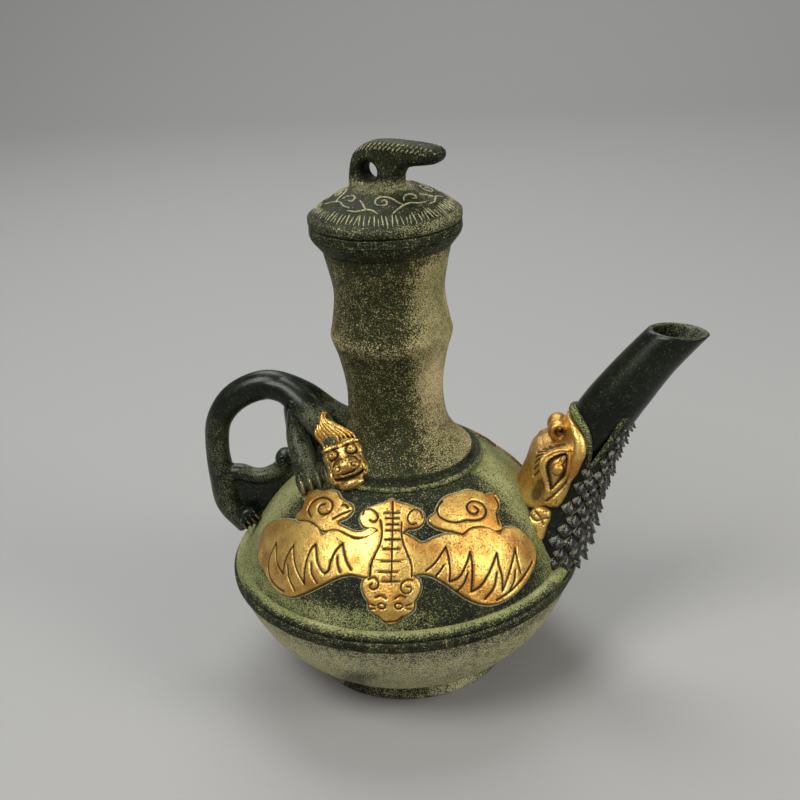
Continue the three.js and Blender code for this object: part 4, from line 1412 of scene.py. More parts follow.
@dataclass
class Panels:
    """Gilt bats and clouds on the shoulder, drawn as (degrees, arc) and laid on it."""

    vessel: Vessel
    mid_radius: float = 42.0
    shoulder_arc: float = 40.7
    narrowing: float = 1.25
    thickness: float = 1.05
    edge: float = 0.55
    pitch: float = 0.24
    rim: float = 0.8
    rim_width: float = 0.45
    tarnish: float = 2.4  # rim width of the far plates that face the spout; their wide dark rim is painted shade for the unlit edge seen end-on
    line_width: float = 0.50
    fine_width: float = 0.40
    border: float = 0.22
    left_swell: Row = (-38, 15, 15, 7, 0.7)
    right_swell: Row = (36, 13, 15, 7, 0.7)
    bat_swells: Rows = (
        (0, 6.5, 6, 5, 0.8), (0, 19, 5, 7, 0.4), (-6.3, 12.2, 1.8, 1.6, 0.4), (5.8, 11.6, 1.8, 1.6, 0.4),
    )
    eye_ring: Pair = (1.3, 0.75)
    left_wing: Line = (
        (-4.8, 27.4), (-11.3, 25.4), (-15.6, 24.4), (-20.7, 25.1), (-26.3, 25.8), (-30.5, 24.8),
        (-32.5, 23.4), (-35.6, 24.7), (-40.9, 25.2), (-45.9, 24.8), (-48.1, 23.6), (-52.8, 23.1),
        (-61.5, 20.6), (-68.2, 16.8), (-69.6, 13.2), (-67.1, 9.4), (-62.0, 6.0), (-56.0, 5.0), (-52.2, 4.0),
        (-47.3, 2.9), (-41.7, 2.6), (-36.9, 3.4), (-32.5, 5.7), (-26.5, 9.2), (-21.1, 12.2), (-16.0, 13.9),
        (-4.8, 14.3),
    )
    right_wing: Line = (
        (4.8, 26.4), (9.4, 25.3), (13.3, 23.4), (19.1, 24.3), (25.0, 24.6), (30.5, 23.6), (31.6, 23.1),
        (35.7, 23.9), (40.2, 23.6), (45.3, 22.1), (47.8, 20.2), (48.5, 19.4), (51.4, 19.9), (56.5, 19.0),
        (59.2, 17.5), (60.5, 15.2), (62.6, 12.5), (62.8, 10.4), (61.6, 8.4), (59.5, 6.5), (56.8, 5.1),
        (52.6, 3.7), (47.8, 2.4), (42.6, 1.6), (38.2, 1.4), (34.3, 1.7), (30.8, 2.8), (26.8, 5.0),
        (23.0, 8.0), (19.2, 11.0), (15.1, 13.5), (11.6, 14.4), (4.8, 14.3),
    )
    left_feathers: Lines = (
        ((-41.5, 3.9), (-45.0, 4.0), (-49.4, 4.7), (-52.7, 6.5), (-54.5, 9.1), (-54.8, 12.7), (-54.4, 14.9)),
        ((-54.4, 14.9), (-51.9, 12.5), (-48.8, 10.0), (-44.0, 8.4)),
        ((-44.0, 8.4), (-45.0, 12.0), (-44.5, 15.3), (-43.9, 17.4)),
        ((-43.9, 17.4), (-42.0, 15.2), (-38.6, 11.9), (-35.3, 9.8), (-33.0, 8.5)),
        ((-33.0, 8.5), (-34.1, 11.6), (-34.7, 15.9), (-34.5, 18.6), (-33.4, 20.0)),
        ((-33.4, 20.0), (-31.5, 17.8), (-29.4, 15.2), (-26.9, 13.5), (-25.6, 13.0)),
        ((-25.6, 13.0), (-24.3, 14.0), (-24.2, 16.5), (-23.3, 19.9), (-21.3, 22.2)),
        ((-21.3, 22.2), (-19.4, 19.7), (-17.3, 17.1), (-15.4, 15.5)),
        ((-43.0, 11.4), (-40.6, 8.3), (-36.6, 5.7)),
        ((-32.2, 14.6), (-30.5, 11.7), (-27.8, 9.9)),
        ((-22.0, 18.3), (-21.1, 16.3), (-19.5, 14.3)),
        ((-40.6, 25.7), (-35.8, 24.9), (-32.4, 23.6)),
    )
    right_feathers: Lines = (
        ((13.1, 15.3), (16.9, 17.0), (20.0, 19.1), (22.7, 20.9)),
        ((22.7, 20.9), (22.7, 18.0), (21.9, 13.8), (20.9, 11.3)),
        ((20.9, 11.3), (24.7, 11.9), (28.3, 14.5), (31.8, 17.7)),
        ((31.8, 17.7), (31.1, 14.9), (29.5, 10.9), (27.9, 7.2)),
        ((27.9, 7.2), (31.6, 7.9), (35.7, 10.2), (39.2, 12.6), (42.4, 14.7)),
        ((42.4, 14.7), (41.2, 11.6), (40.9, 7.9), (39.5, 4.4)),
        ((39.5, 4.4), (43.1, 7.2), (46.9, 10.1), (51.6, 13.3)),
        ((51.6, 13.3), (50.1, 10.2), (49.3, 6.5)),
        ((57.0, 7.1), (50.1, 5.1), (42.9, 3.4), (36.5, 2.6)),
        ((20.0, 15.9), (18.4, 14.7), (16.5, 13.5)),
        ((28.2, 12.3), (25.9, 9.9), (23.0, 8.3)),
        ((39.4, 9.8), (36.5, 6.2), (32.2, 4.1)),
        ((47.4, 8.0), (45.2, 5.3), (42.4, 3.6)),
    )
    bat_half: Line = (
        (0.0, 37.0), (3.2, 36.1), (8.4, 35.1), (13.6, 33.6), (16.4, 32.2), (16.7, 30.3), (14.7, 28.3),
        (11.2, 27.4), (8.0, 27.4), (6.0, 26.4), (5.4, 24.0), (7.0, 20.6), (8.4, 17.2), (8.2, 14.8),
        (10.4, 13.2), (10.8, 11.0), (9.6, 8.8), (8.2, 7.2), (7.8, 5.2), (6.1, 4.0), (3.9, 3.1), (2.6, 1.8),
        (0.0, 1.0),
    )
    left_flank: Line = (
        (-5.5, 30.2), (-4.3, 26.9), (-4.6, 23.6), (-6.4, 20.4), (-7.8, 17.2), (-7.8, 14.2),
    )
    right_flank: Line = (
        (4.9, 29.4), (4.6, 26.8), (5.0, 23.9), (6.5, 20.6), (7.8, 17.1), (7.6, 14.0),
    )
    bat_lines: Lines = (
        ((0.3, 36.0), (0.6, 31.3), (0.5, 25.5), (0.4, 19.1), (0.1, 13.0)),
        left_flank,
        right_flank,
        (
            (-15.2, 31.5), (-14.8, 32.8), (-11.9, 33.3), (-8.2, 32.3), (-6.9, 30.9), (-8.4, 29.6),
            (-10.8, 30.0),
        ),
        ((15.6, 30.4), (15.0, 32.2), (12.2, 33.0), (9.4, 32.2), (8.0, 30.4), (9.4, 28.8), (12.0, 28.9)),
        ((-8.4, 13.4), (-6.2, 14.1), (-4.6, 12.9), (-4.8, 11.3), (-6.6, 10.8), (-7.6, 11.6), (-6.7, 12.4)),
        (
            (8.0, 13.1), (6.0, 13.4), (3.7, 12.2), (3.6, 10.6), (5.2, 9.7), (7.0, 10.2), (6.9, 11.4),
            (5.6, 11.5),
        ),
        ((-4.2, 3.4), (-2.9, 2.4), (-0.5, 2.1), (1.9, 2.4), (3.4, 3.5)),
        ((-5.4, 5.6), (-7.0, 5.4)),
        ((-5.4, 6.4), (-7.4, 6.8)),
        ((4.9, 5.6), (6.6, 5.4)),
        ((4.9, 6.4), (7.0, 6.8)),
        ((-5.4, 8.6), (-3.4, 9.2), (-1.6, 8.4)),
        ((1.4, 8.4), (3.2, 9.2), (5.2, 8.6)),
    )
    bars: Rows = (
        (-3.6, 4.2, 32.4), (-2.8, 3.9, 30.8), (-2.2, 3.5, 29.0), (-2.4, 3.7, 27.2), (-2.7, 4.0, 24.6),
        (-3.1, 4.1, 21.9), (-6.0, 5.6, 18.5), (-5.6, 2.6, 15.6), (-3.1, 3.2, 13.0),
    )
    eyes: Line = ((-3.1, 6.4), (2.6, 6.4))
    left_cloud: Line = (
        (-53.0, 24.2), (-51.9, 27.3), (-54.0, 29.5), (-58.0, 30.4), (-55.3, 33.1), (-48.0, 34.6),
        (-41.8, 36.3), (-35.7, 36.4), (-32.7, 35.3), (-28.8, 34.6), (-23.3, 34.0), (-21.3, 32.2),
        (-22.9, 30.1), (-27.0, 27.9), (-22.0, 27.0), (-15.0, 26.6), (-9.5, 28.2), (-6.5, 27.6),
        (-8.5, 25.6), (-15.6, 24.4), (-26.0, 25.4), (-33.5, 24.0), (-36.0, 24.6), (-41.3, 25.2),
        (-47.0, 24.4), (-50.0, 23.6),
    )
    right_cloud: Line = (
        (18.3, 30.0), (22.8, 31.4), (24.1, 32.4), (28.6, 34.6), (34.2, 35.4), (40.7, 35.1), (47.7, 34.6),
        (52.7, 32.7), (55.4, 30.7), (59.4, 30.1), (61.0, 28.0), (58.3, 25.8), (53.8, 24.4), (52.6, 22.1),
        (51.4, 19.7), (47.2, 20.0), (43.9, 22.0), (39.6, 23.5), (35.8, 23.7), (31.5, 23.0), (28.6, 24.2),
        (24.5, 25.4), (20.3, 27.0), (18.0, 28.7),
    )
    left_scroll: Lines = (
        (
            (-43.2, 26.6), (-47.2, 28.1), (-47.5, 30.6), (-43.6, 32.9), (-38.2, 33.3), (-34.2, 32.1),
            (-33.8, 30.1), (-36.3, 28.8), (-39.7, 28.7), (-41.7, 29.8), (-41.2, 31.0), (-39.1, 31.6),
        ),
        ((-30.4, 28.4), (-26.7, 30.4), (-22.6, 31.9)),
        ((-24.6, 32.6), (-26.6, 33.3), (-28.6, 33.0)),
    )
    right_scroll: Lines = (
        (
            (28.6, 34.0), (24.6, 32.4), (23.8, 30.1), (26.3, 28.2), (31.2, 26.8), (36.4, 26.5),
            (40.4, 25.5), (45.0, 25.2), (48.1, 26.3), (49.0, 28.5), (46.2, 30.5), (42.3, 30.8),
            (39.7, 29.9), (39.6, 28.4), (42.2, 27.2), (44.9, 27.9), (43.9, 29.2),
        ),
        ((58.6, 28.4), (57.2, 26.0), (52.6, 24.1), (50.9, 21.5)),
    )

    def build(self, bench: Bench) -> None:
        """Makes and dresses the panels of both sides.

        Args:
            bench: Bench that holds the finishes and takes the finished pieces.
        """
        left_lines = (*self.left_feathers, self.left_flank)
        right_lines = (*self.right_feathers, self.right_flank)
        for side in Side:
            plates = (
                (f"bat_body_{side.word}", self.bat_outline(), self.bat_strokes(), self.bat_swells),
                (f"bat_wing_{side.word}_left", self.left_wing, left_lines, (self.left_swell,)),
                (f"bat_wing_{side.word}_right", self.right_wing, right_lines, (self.right_swell,)),
                (f"cloud_{side.word}_left", self.left_cloud, self.left_scroll, ()),
                (f"cloud_{side.word}_right", self.right_cloud, self.right_scroll, ()),
            )
            sheets = []
            for node, outline, lines, bumps in plates:
                sheets.append(self.sheet(f"{node}_relief", outline, lines, bumps, side))
                bench.add(sheets[-1].build(), GILT, Slot.GILT, (node,))
            bench.add(self.borders(sheets, side, bench), PALE_LINES, Slot.PATINA)

    def borders(self, sheets: Sequence[ReliefSheet], side: Side, bench: Bench) -> Object:
        """Thin powdered lines round the plates of one side.

        Args:
            sheets: The plates.
            side: Front or back.
            bench: Where the lines are drawn.

        Returns:
            The lines as one piece.
        """
        lines, girths = [], []
        for sheet in sheets:
            loop = np.vstack([sheet.outline, sheet.outline[:1]])
            way = np.gradient(loop, axis=0)
            way /= np.maximum(np.linalg.norm(way, axis=1, keepdims=True), 1e-9)
            turning = np.sign(np.sum(loop[:-1, 0] * loop[1:, 1] - loop[1:, 0] * loop[:-1, 1]))
            outward = np.stack([way[:, 1], -way[:, 0]], -1) * turning
            lines.append(sheet.chart(loop + outward * self.border, np.full(len(loop), 0.02)))
            girths.append(self.border * (0.75 + 0.45 * np.sin(np.linspace(0, 17, len(loop))) ** 2))
        return bench.trees.tube(f"panel_borders_{side.word}", lines, girths, bench.finish(PALE_LINES), 6)

    def flat(self, points: Sequence[Pair]) -> Points:
        """Drawn points in millimetres at the mid radius."""
        return np.asarray(points, float) * (math.radians(1) * self.mid_radius, 1.0)

    def sheet(self, name: str, outline: Line, lines: Lines, bumps: Rows, side: Side) -> ReliefSheet:
        """Plate of one outline.

        Args:
            name: Name of the piece.
            outline: Drawn outline.
            lines: Drawn engraved lines.
            bumps: Swellings as (degrees, arc, half-width, half-height, rise).
            side: Front or back.

        Returns:
            The plate, not yet built.
        """

        def chart(flat: Points, lift: Points) -> Points:
            """Flat points laid on the shoulder."""
            degrees = np.degrees(flat[:, 0] / self.mid_radius)
            return self.vessel.on_shoulder(degrees, flat[:, 1], lift, side)

        def stretch(flat: Points) -> Points:
            """Width on the shoulder of a flat width.

            Args:
                flat: Points in the flat chart.

            Returns:
                One width for each point.
            """
            low, high = self.vessel.rim_inner[0], self.vessel.shoulder_top[0]
            fall = (flat[:, 1] / self.shoulder_arc) ** self.narrowing
            return (low + (high - low) * fall) / self.mid_radius

        width = self.fine_width if "body" in name else self.line_width
        # The far plates that face the spout get a wide dark rim, painted shade for their unlit edge seen
        # end-on.
        faces_spout = side is Side.BACK and f"{side.word}_left" in name
        return ReliefSheet(
            name,
            smooth_path(self.flat(outline), 6 * len(outline), closed=True),
            chart,
            stretch,
            [Stroke(self.flat(line), width) for line in lines],
            thickness=self.thickness,
            edge=self.edge,
            rim=self.rim,
            bumps=[(*self.flat([(x, y)])[0], rx, ry, rise) for x, y, rx, ry, rise in bumps],
            pitch=self.pitch,
            rim_width=self.tarnish if faces_spout else self.rim_width,
        )

    def bat_outline(self) -> Line:
        """Both halves of the bat's body."""
        return (*self.bat_half, *((-x, y) for x, y in reversed(self.bat_half[1:-1])))

    def bat_strokes(self) -> Lines:
        """Lines of the bat's body: spine, sides, curls, cross bars and ringed eyes.

        Returns:
            Points of each line, as drawn.
        """
        wide, tall = self.eye_ring
        turns = np.linspace(0, 2 * math.pi, 9)
        rings = [tuple((x + wide * math.cos(t), y + tall * math.sin(t)) for t in turns) for x, y in self.eyes]
        return (*self.bat_lines, *(((a, y), (b, y)) for a, b, y in self.bars), *rings)


@dataclass
class Lid:
    """Domed lid with scrolls and a hatched edge, its skirt and its hooked knob."""

    edge_low: float = 142.6
    radius: float = 21.9
    edge: float = 2.0
    rise: float = 10.9
    skirt_radius: float = 15.9
    skirt_bore: float = 14.1
    skirt_low: float = 135.3
    knob_turn: float = math.radians(-26)
    knob_half: float = 3.6
    knob_round: float = 2.2
    knob_back: Line = (
        (-10.4, -3.0), (-9.9, 1.0), (-9.4, 4.0), (-7.6, 8.1), (-3.7, 10.7), (1.2, 11.5), (8.4, 11.4),
        (14.8, 10.9), (18.2, 10.1), (19.4, 8.4), (18.4, 6.5), (14.6, 5.5), (10.9, 5.0), (7.9, 4.0),
        (6.5, 2.0), (6.3, 0.4), (6.6, -3.0),
    )
    wall: float = 2.2
    eye: Row = (-2.9, 2.9, 2.45)
    hatch_count: int = 92
    hatch_radius: float = 18.7
    hatch_bar: Rows = ((-2.0, 0, 0, 0.02, 0.08), (0, 0, 0, 0.26, 0.26), (2.0, 0, 0, 0.02, 0.08))
    hatch_seed: int = 7
    scroll_lines: Lines = (
        ((-34, 15.8), (-24, 15.9), (-12, 15.0), (-6, 15.4), (-1, 16.4)),
        ((-14, 15.1), (-18, 13.8), (-23, 12.6), (-28, 11.8)),
        ((3, 13.6), (-3, 13.3), (-6, 11.9), (-1, 10.3), (8, 10.3), (17, 11.3), (24, 13.4), (28, 14.2)),
        ((3, 13.6), (8, 13.4), (9, 12.2), (5, 11.6), (2, 12.2)),
        ((13, 16.6), (20, 15.2), (28, 14.2), (36, 13.9), (46, 14.6), (56, 14.9)),
        ((31, 12.6), (35, 11.2), (45, 10.6), (52, 11.6), (50, 12.7), (44, 12.4)),
    )
    segments: int = 160

    def dome_line(self) -> Points:
        """Outer profile of the dome, from its edge to the top.

        Returns:
            Radius and height of each point.
        """
        start = (self.radius, self.edge_low + self.edge)
        top = self.edge_low + self.rise
        return bezier(start, (self.radius * 0.52, top - 0.6), (0, top), 60)

    def on_dome(self, degrees: float, radius: float, lift: float = 0.0) -> Points:
        """Point on the dome at an angle from the front and a distance from the axis.

        Args:
            degrees: Angle from the front.
            radius: Distance from the axis.
            lift: Height above the dome.

        Returns:
            The point.
        """
        line = self.dome_line()[::-1]
        z = float(np.interp(radius, line[:, 0], line[:, 1])) + lift
        turn = math.radians(degrees - 90)
        return np.array([radius * math.cos(turn), radius * math.sin(turn), z])

    def build(self, bench: Bench) -> None:
        """Makes and dresses the lid's pieces.

        Args:
            bench: Bench that holds the finishes and takes the finished pieces.
        """
        low, top = self.edge_low - 0.1, self.edge_low + self.rise
        roof, bore = top - self.wall, self.skirt_bore
        outer = [(self.radius - 0.6, low), (self.radius, low + 0.6), *map(tuple, self.dome_line())]
        inner = bezier((0, roof), (bore * 0.6, roof), (bore, low + self.edge), 16)
        points, faces = lathe([*outer, *map(tuple, inner), (bore, low)], self.segments)
        dome = make_mesh("lid_dome_turned", points, faces, self.powder(points))
        bench.add(dome, LID_PATINA, Slot.PATINA, ("lid_dome",), Part.LID)
        wide, foot = self.skirt_radius, self.skirt_low
        ring = softened([(wide, foot, 0.5), (wide, low, 0), (bore, low, 0), (bore, foot, 0.4)])
        skirt = make_mesh("lid_skirt_turned", *lathe(ring, self.segments))
        bench.add(skirt, PATINA, Slot.PATINA, ("lid_skirt",), Part.LID)
        bench.add(self.knob(), LID_PATINA, Slot.PATINA, ("lid_knob",), Part.LID)
        bench.add(self.hatch(bench), PALE_LINES, Slot.PATINA, part=Part.LID)
        bench.add(self.scrolls(bench), PALE_LINES, Slot.PATINA, part=Part.LID)

    def powder(self, points: Points) -> Points:
        """Powder on the lid: round the knob's feet, along the edge and to the spout's side.

        Args:
            points: Points of the piece.

        Returns:
            Powder at each point, 0 for bare metal.
        """
        radius = np.hypot(points[:, 0], points[:, 1])
        top = self.edge_low + self.rise
        feet = 0.38 * ramp(radius, 11.0, 7.0) * ramp(points[:, 2], top - 5, top - 1)
        edge = 0.16 * ramp(radius, 19.8, 20.8)
        side = 0.17 * ramp(points[:, 0], 3, 15)
        return np.maximum(feet, edge) + side - 0.02

    def knob(self) -> Object:
        """Hooked knob with its eye, rounded and ribbed along its back.

        Returns:
            The knob.
        """
        curve = bpy.data.curves.new("lid_knob_cast", "CURVE")
        curve.dimensions = "2D"
        curve.fill_mode = "BOTH"
        curve.extrude = (self.knob_half - self.knob_round) * MM
        curve.bevel_depth = self.knob_round * MM
        curve.offset = -self.knob_round * MM
        curve.bevel_resolution = 4
        x, y, r = self.eye
        turns = np.linspace(0, 2 * math.pi, 24, endpoint=False)
        ring = [(x + r * math.cos(t), y + r * math.sin(t)) for t in turns]
        for outline in (smooth_path(self.knob_back, 90), ring):
            spline = curve.splines.new("POLY")
            spline.points.add(len(outline) - 1)
            for point, (px, py) in zip(spline.points, outline):
                point.co = (px * MM, py * MM, 0, 1)
            spline.use_cyclic_u = True
        obj = settle(linked(curve.name, curve))
        upright = Matrix.Rotation(math.pi / 2, 4, "X")
        turn = Matrix.Rotation(self.knob_turn, 4, "Z")
        obj.data.transform(Matrix.Translation((0, 0, (self.edge_low + self.rise) * MM)) @ turn @ upright)
        return dusted(worked(skinned(obj, voxel=0.24, soften=14), self.notches()), self.knob_powder)

    def knob_powder(self, points: Points) -> Points:
        """Powder on the knob: on its feet, and none inside its eye.

        Args:
            points: Points of the piece.

        Returns:
            Powder at each point, 0 for bare metal.
        """
        height = points[:, 2] - self.edge_low - self.rise
        along = points[:, 0] * math.cos(self.knob_turn) + points[:, 1] * math.sin(self.knob_turn)
        x, y, radius = self.eye
        clear = ramp(np.hypot(along - x, height - y), radius + 0.2, radius + 1.2)
        return (0.05 + 0.40 * ramp(height, 2.5, -0.8)) * clear - 0.1 * (1 - clear)

    def notches(self) -> list[Stroke]:
        """Slanting raised strokes along the front and back edges of the knob's back.

        Returns:
            The strokes.
        """
        back = smooth_path(self.knob_back[2:10], 24)
        out = []
        for (x, y), (nx, ny) in zip(back[1:-1], back[2:]):
            up = np.array([-(ny - y), nx - x]) / math.hypot(nx - x, ny - y)
            low = np.array([x, y]) - up * 2.0 - np.array([1.5, 0])
            for side in (-1, 1):
                foot = self._on_knob(low[0], low[1], side * self.knob_half)
                top = self._on_knob(x, y - 0.5, side * (self.knob_half - 0.9))
                out.append(Stroke((foot, top), width=0.31, depth=0.3, ink=0.6))
        return out

    def _on_knob(self, x: float, y: float, across: float) -> Row:
        """Point of the knob's drawing in the flask's frame."""
        c, s = math.cos(self.knob_turn), math.sin(self.knob_turn)
        return (x * c - across * s, x * s + across * c, y + self.edge_low + self.rise)

    def hatch(self, bench: Bench) -> Object:
        """Short raised strokes round the lower edge of the dome.

        Args:
            bench: Bench that holds the finishes and takes the finished pieces.

        Returns:
            The piece.
        """
        shape = make_mesh("stroke", *Sweep(self.hatch_bar).solid(4, 6))
        chance = np.random.default_rng(self.hatch_seed)
        step = 0.5
        places, turns = [], []
        for i in range(self.hatch_count):
            degrees = 360 * i / self.hatch_count + chance.uniform(-0.8, 0.8)
            radius = self.hatch_radius + chance.uniform(-0.3, 0.3)
            out, here = self.on_dome(degrees, radius + step), self.on_dome(degrees, radius, 0.02)
            slope = math.atan2(here[2] - out[2], step)
            places.append(here)
            turns.append((0, slope, math.radians(degrees - 90 + chance.uniform(-14, 14))))
        sizes = chance.uniform(0.6, 1.15, self.hatch_count)
        finish = bench.finish(PALE_LINES)
        return bench.trees.lay("lid_hatch", shape, np.array(places), np.array(turns), sizes, finish)

    def scrolls(self, bench: Bench) -> Object:
        """Thin raised cloud scrolls round the dome, four times.

        Args:
            bench: Bench that holds the finishes and takes the finished pieces.

        Returns:
            The piece.
        """
        count = 36
        girth = 0.15 + 0.14 * np.sin(np.linspace(0.25, math.pi - 0.25, count))
        lines = []
        for quarter in range(4):
            for stroke in self.scroll_lines:
                places = [self.on_dome(d + 90 * quarter, r, 0.05) for d, r in stroke]
                lines.append(smooth_path(places, count))
        return bench.trees.tube("lid_scrolls", lines, [girth] * len(lines), bench.finish(PALE_LINES), 6)


@dataclass
class Spout:
    """Dragon-fish spout: the tube, the throat that holds it, its scales and its gilt head."""

    band_radius: float = BAND_RADIUS
    band_top: float = BAND_TOP
    wall: float = 1.3
    lip_reach: float = 30.4
    lip_height: float = 70.1
    lip_fall: float = 0.1
    tube_line: Rows = (
        (-19, -2, 7.4, 7.4), (-10.5, 8.2, 7.4, 7.4), (-4, 21, 7.4, 7.4), (1.5, 33, 7.8, 7.6),
        (7.7, 44, 8.6, 8.1), (14.8, 53.8, 8.1, 7.9), (22.6, 63.5, 7.3, 7.2), (33, 74.5, 6.8, 6.8),
    )
    throat_line: Rows = (
        (-13.6, -2, 14.2, 20), (-8.6, 10.2, 13.2, 16), (-4, 22.6, 11.6, 12), (0.5, 30.6, 10.2, 10),
        (5.0, 39.0, 8.4, 9.0), (8.8, 48.0, 8.2, 8.6),
    )
    jaw: Line = (
        (0, 1.0), (45, 1.0), (58, 0.985), (61, 0.93), (64, 0.87), (67, 0.817), (71, 0.76), (75, 0.70),
        (79, 0.662), (82, 0.648), (86, 0.665), (93, 0.722), (102, 0.775), (112, 0.822), (123, 0.85),
        (134, 0.868), (145, 0.88), (160, 0.888), (180, 0.89),
    )
    face_half: Line = (
        (180, 0.845), (150, 0.843), (140, 0.838), (130, 0.828), (118, 0.808), (110, 0.782), (103, 0.742),
        (100, 0.70), (98, 0.647), (97, 0.60), (96, 0.55), (94, 0.50), (92, 0.454), (92, 0.389), (96, 0.352),
        (105, 0.34), (114, 0.335), (126, 0.30), (142, 0.288), (160, 0.282), (180, 0.28),
    )
    gill: Line = (
        (124, 0.236), (129, 0.273), (125, 0.312), (115, 0.330), (103, 0.322), (100, 0.290), (101, 0.262),
        (100, 0.225), (101, 0.196), (105, 0.188), (111, 0.205), (114, 0.226),
    )
    socket: Line = (
        (125, 0.662), (132, 0.632), (136, 0.572), (133, 0.509), (126, 0.471), (118, 0.433), (114, 0.416),
        (110, 0.484), (108, 0.539), (111, 0.592), (119, 0.649),
    )
    upper_lid: Line = (
        (124, 0.690), (134, 0.662), (141, 0.602), (141, 0.534), (135, 0.478), (126, 0.442), (118, 0.403),
        (116, 0.372),
    )
    lower_lid: Line = ((119, 0.672), (110, 0.612), (105.5, 0.54), (107, 0.48), (112, 0.415))
    cheek_fold: Line = ((103, 0.62), (101.5, 0.55), (103, 0.47), (108, 0.40), (113, 0.365))
    stain: Line = ((129, 0.36), (128, 0.42))
    lip_shade: Line = ((104, 0.72), (99, 0.64), (98, 0.55), (100, 0.46))
    brow_shade: Line = ((140, 0.70), (150, 0.64), (155, 0.57), (154, 0.49))
    lashes: Lines = (
        ((138, 0.690), (149, 0.650)), ((142, 0.663), (152, 0.617)), ((146, 0.631), (155, 0.579)),
        ((148, 0.598), (156, 0.540)), ((148, 0.564), (154, 0.506)), ((146, 0.532), (151, 0.475)),
        ((143, 0.500), (148, 0.445)), ((139, 0.468), (144, 0.420)),
    )
    swells: Rows = (
        (128, 0.56, 5.5, 7.0, 1.6), (156, 0.53, 6.0, 5.6, 1.8), (104, 0.40, 3.5, 3.5, 0.9),
        (172, 0.70, 8.0, 3.0, -0.9),
    )
    gill_lines: Lines = (
        ((126, 0.276), (116, 0.268), (106, 0.296), (101, 0.302)),
        ((121, 0.300), (112, 0.288), (106, 0.268)),
    )
    eye_balls: Rows = ((121.5, 0.542, 1.6, 1.95, 2.15, 1.8), (123.5, 0.608, 1.2, 1.0, 1.9, 1.1))
    snout_line: Line = (
        (150, 0.812), (143, 0.815), (132, 0.803), (121, 0.778), (113, 0.742), (108, 0.702), (106, 0.66),
        (103, 0.61), (101, 0.555), (99, 0.50),
    )
    snout_girth: Line = ((0, 0.5), (0.12, 1.5), (0.45, 2.0), (0.8, 1.6), (1, 0.5))
    lip_girth: Line = ((0, 0.85), (60, 0.8), (82, 0.75), (100, 1.1), (130, 1.2), (150, 1.35), (180, 1.45))
    lip_tip: Rows = ((0, 0, -0.4), (0.9, 0, 0.5), (1.7, 0, 1.6), (1.5, 0, 2.7))
    lip_powder: Row = (0.08, 0.22, 0.34, 0.30)
    scale_rows: Rows = (
        (-1.7, 0.3, -0.5), (-0.8, 1.3, 0.3), (-0.1, 2.5, 0.75), (0.6, 1.7, 1.35), (1.5, 0.1, 2.1),
    )
    scale_seed: int = 11
    curl_centre: Pair = (48.6, 77.0)
    curl_across: Pair = (2.3, 2.25)
    tube_grid: tuple[int, int] = (90, 64)
    chart_radius: float = 11.0
    chart_length: float = 56.0
    row_count: int = 20
    row_gap: float = 0.52  # radians between neighbours in a row

    def _bar(self, line: Sequence[Sequence[float]]) -> Sweep:
        """Sweep along a line given beyond and above the waist band."""
        return Sweep(tuple((self.band_radius + x, 0.0, self.band_top + z, a, b) for x, z, a, b in line))

    def __post_init__(self) -> None:
        """Makes the two bars that everything here follows."""
        self.tube_bar = self._bar(self.tube_line)
        self.throat = self._bar(self.throat_line)

    def build(self, bench: Bench) -> None:
        """Makes and dresses the spout's pieces.

        Args:
            bench: Bench that holds the finishes and takes the finished pieces.
        """
        tube = make_mesh("spout_tube_cast", *self.tube(), self.mouth_powder())
        bench.add(tube, DARK_BRONZE, Slot.DARK, ("spout_tube",))
        throat = make_mesh("dragon_throat_cast", *self.throat_skin())
        bench.add(throat, DARK_BRONZE, Slot.DARK, ("dragon_throat",))
        bench.add(self.scales(bench), SCALE_BRONZE, Slot.DARK, ("throat_scales",))
        bench.add(self.lip_rim(bench), PATINA, Slot.DARK)
        bench.add(self.face().build(), GILT, Slot.GILT, ("dragon_face",))
        for side in Side:
            bench.add(self.gill_leaf(side).build(), GILT, Slot.GILT, (f"gill_leaf_{side.word}",))
            bench.add(self.eye(side), GILT, Slot.GILT, (f"dragon_eye_{side.word}",))
            bench.add(self.curl(side), GILT, Slot.GILT, (f"nostril_curl_{side.word}",))
            bench.add(self.snout_roll(side, bench), GILT, Slot.GILT, (f"upper_lip_{side.word}",))

    def jaw_share(self, angle: Points) -> Points:
        """Share of the throat's length at which the lip lies, at an angle from the outer side.

        Args:
            angle: Angles from the outer side, in radians.

        Returns:
            One share for each angle.
        """
        table = np.array(self.jaw)
        folded = np.abs((np.degrees(angle) + 180) % 360 - 180)
        return np.interp(folded, table[:, 0], table[:, 1])

    def tube(self) -> Solid:
        """Tube with its bore and slanting cut lip.

        Returns:
            Points and faces.
        """
        rows, sides = self.tube_grid
        angle = np.linspace(0, 2 * np.pi, sides, endpoint=False)
        fine = np.linspace(0.1, 1, 600)
        rings = []
        for grow, order in ((0.0, 1), (-self.wall, -1)):
            skin = self.tube_bar.place(fine[:, None], angle[None], grow)
            reach, height = skin[..., 0] - self.band_radius, skin[..., 2] - self.band_top
            over = height - (self.lip_height - self.lip_fall * (reach - self.lip_reach))
            end = np.array([np.interp(0, over[:, j], fine) for j in range(sides)])
            share = 0.1 + (end - 0.1)[None] * np.linspace(0, 1, rows)[:, None]
            grid = self.tube_bar.place(share, angle[None], grow)
            rings.append(grid[::order])
        outer, inner = rings
        lift = np.array([self.lip_fall, 0, 1]) * 0.35
        lip = (outer[-1] + inner[0]) / 2 + lift
        soft_out = outer[-1] * 0.7 + inner[0] * 0.3 + lift * 0.8
        soft_in = outer[-1] * 0.3 + inner[0] * 0.7 + lift * 0.8
        points = np.concatenate([outer, soft_out[None], lip[None], soft_in[None], inner]).reshape(-1, 3)
        count = 2 * rows + 3
        faces = grid_faces(count, sides)
        last = (count - 1) * sides
        faces += [(last + j, last + (j + 1) % sides, (j + 1) % sides, j) for j in range(sides)]
        return points, faces

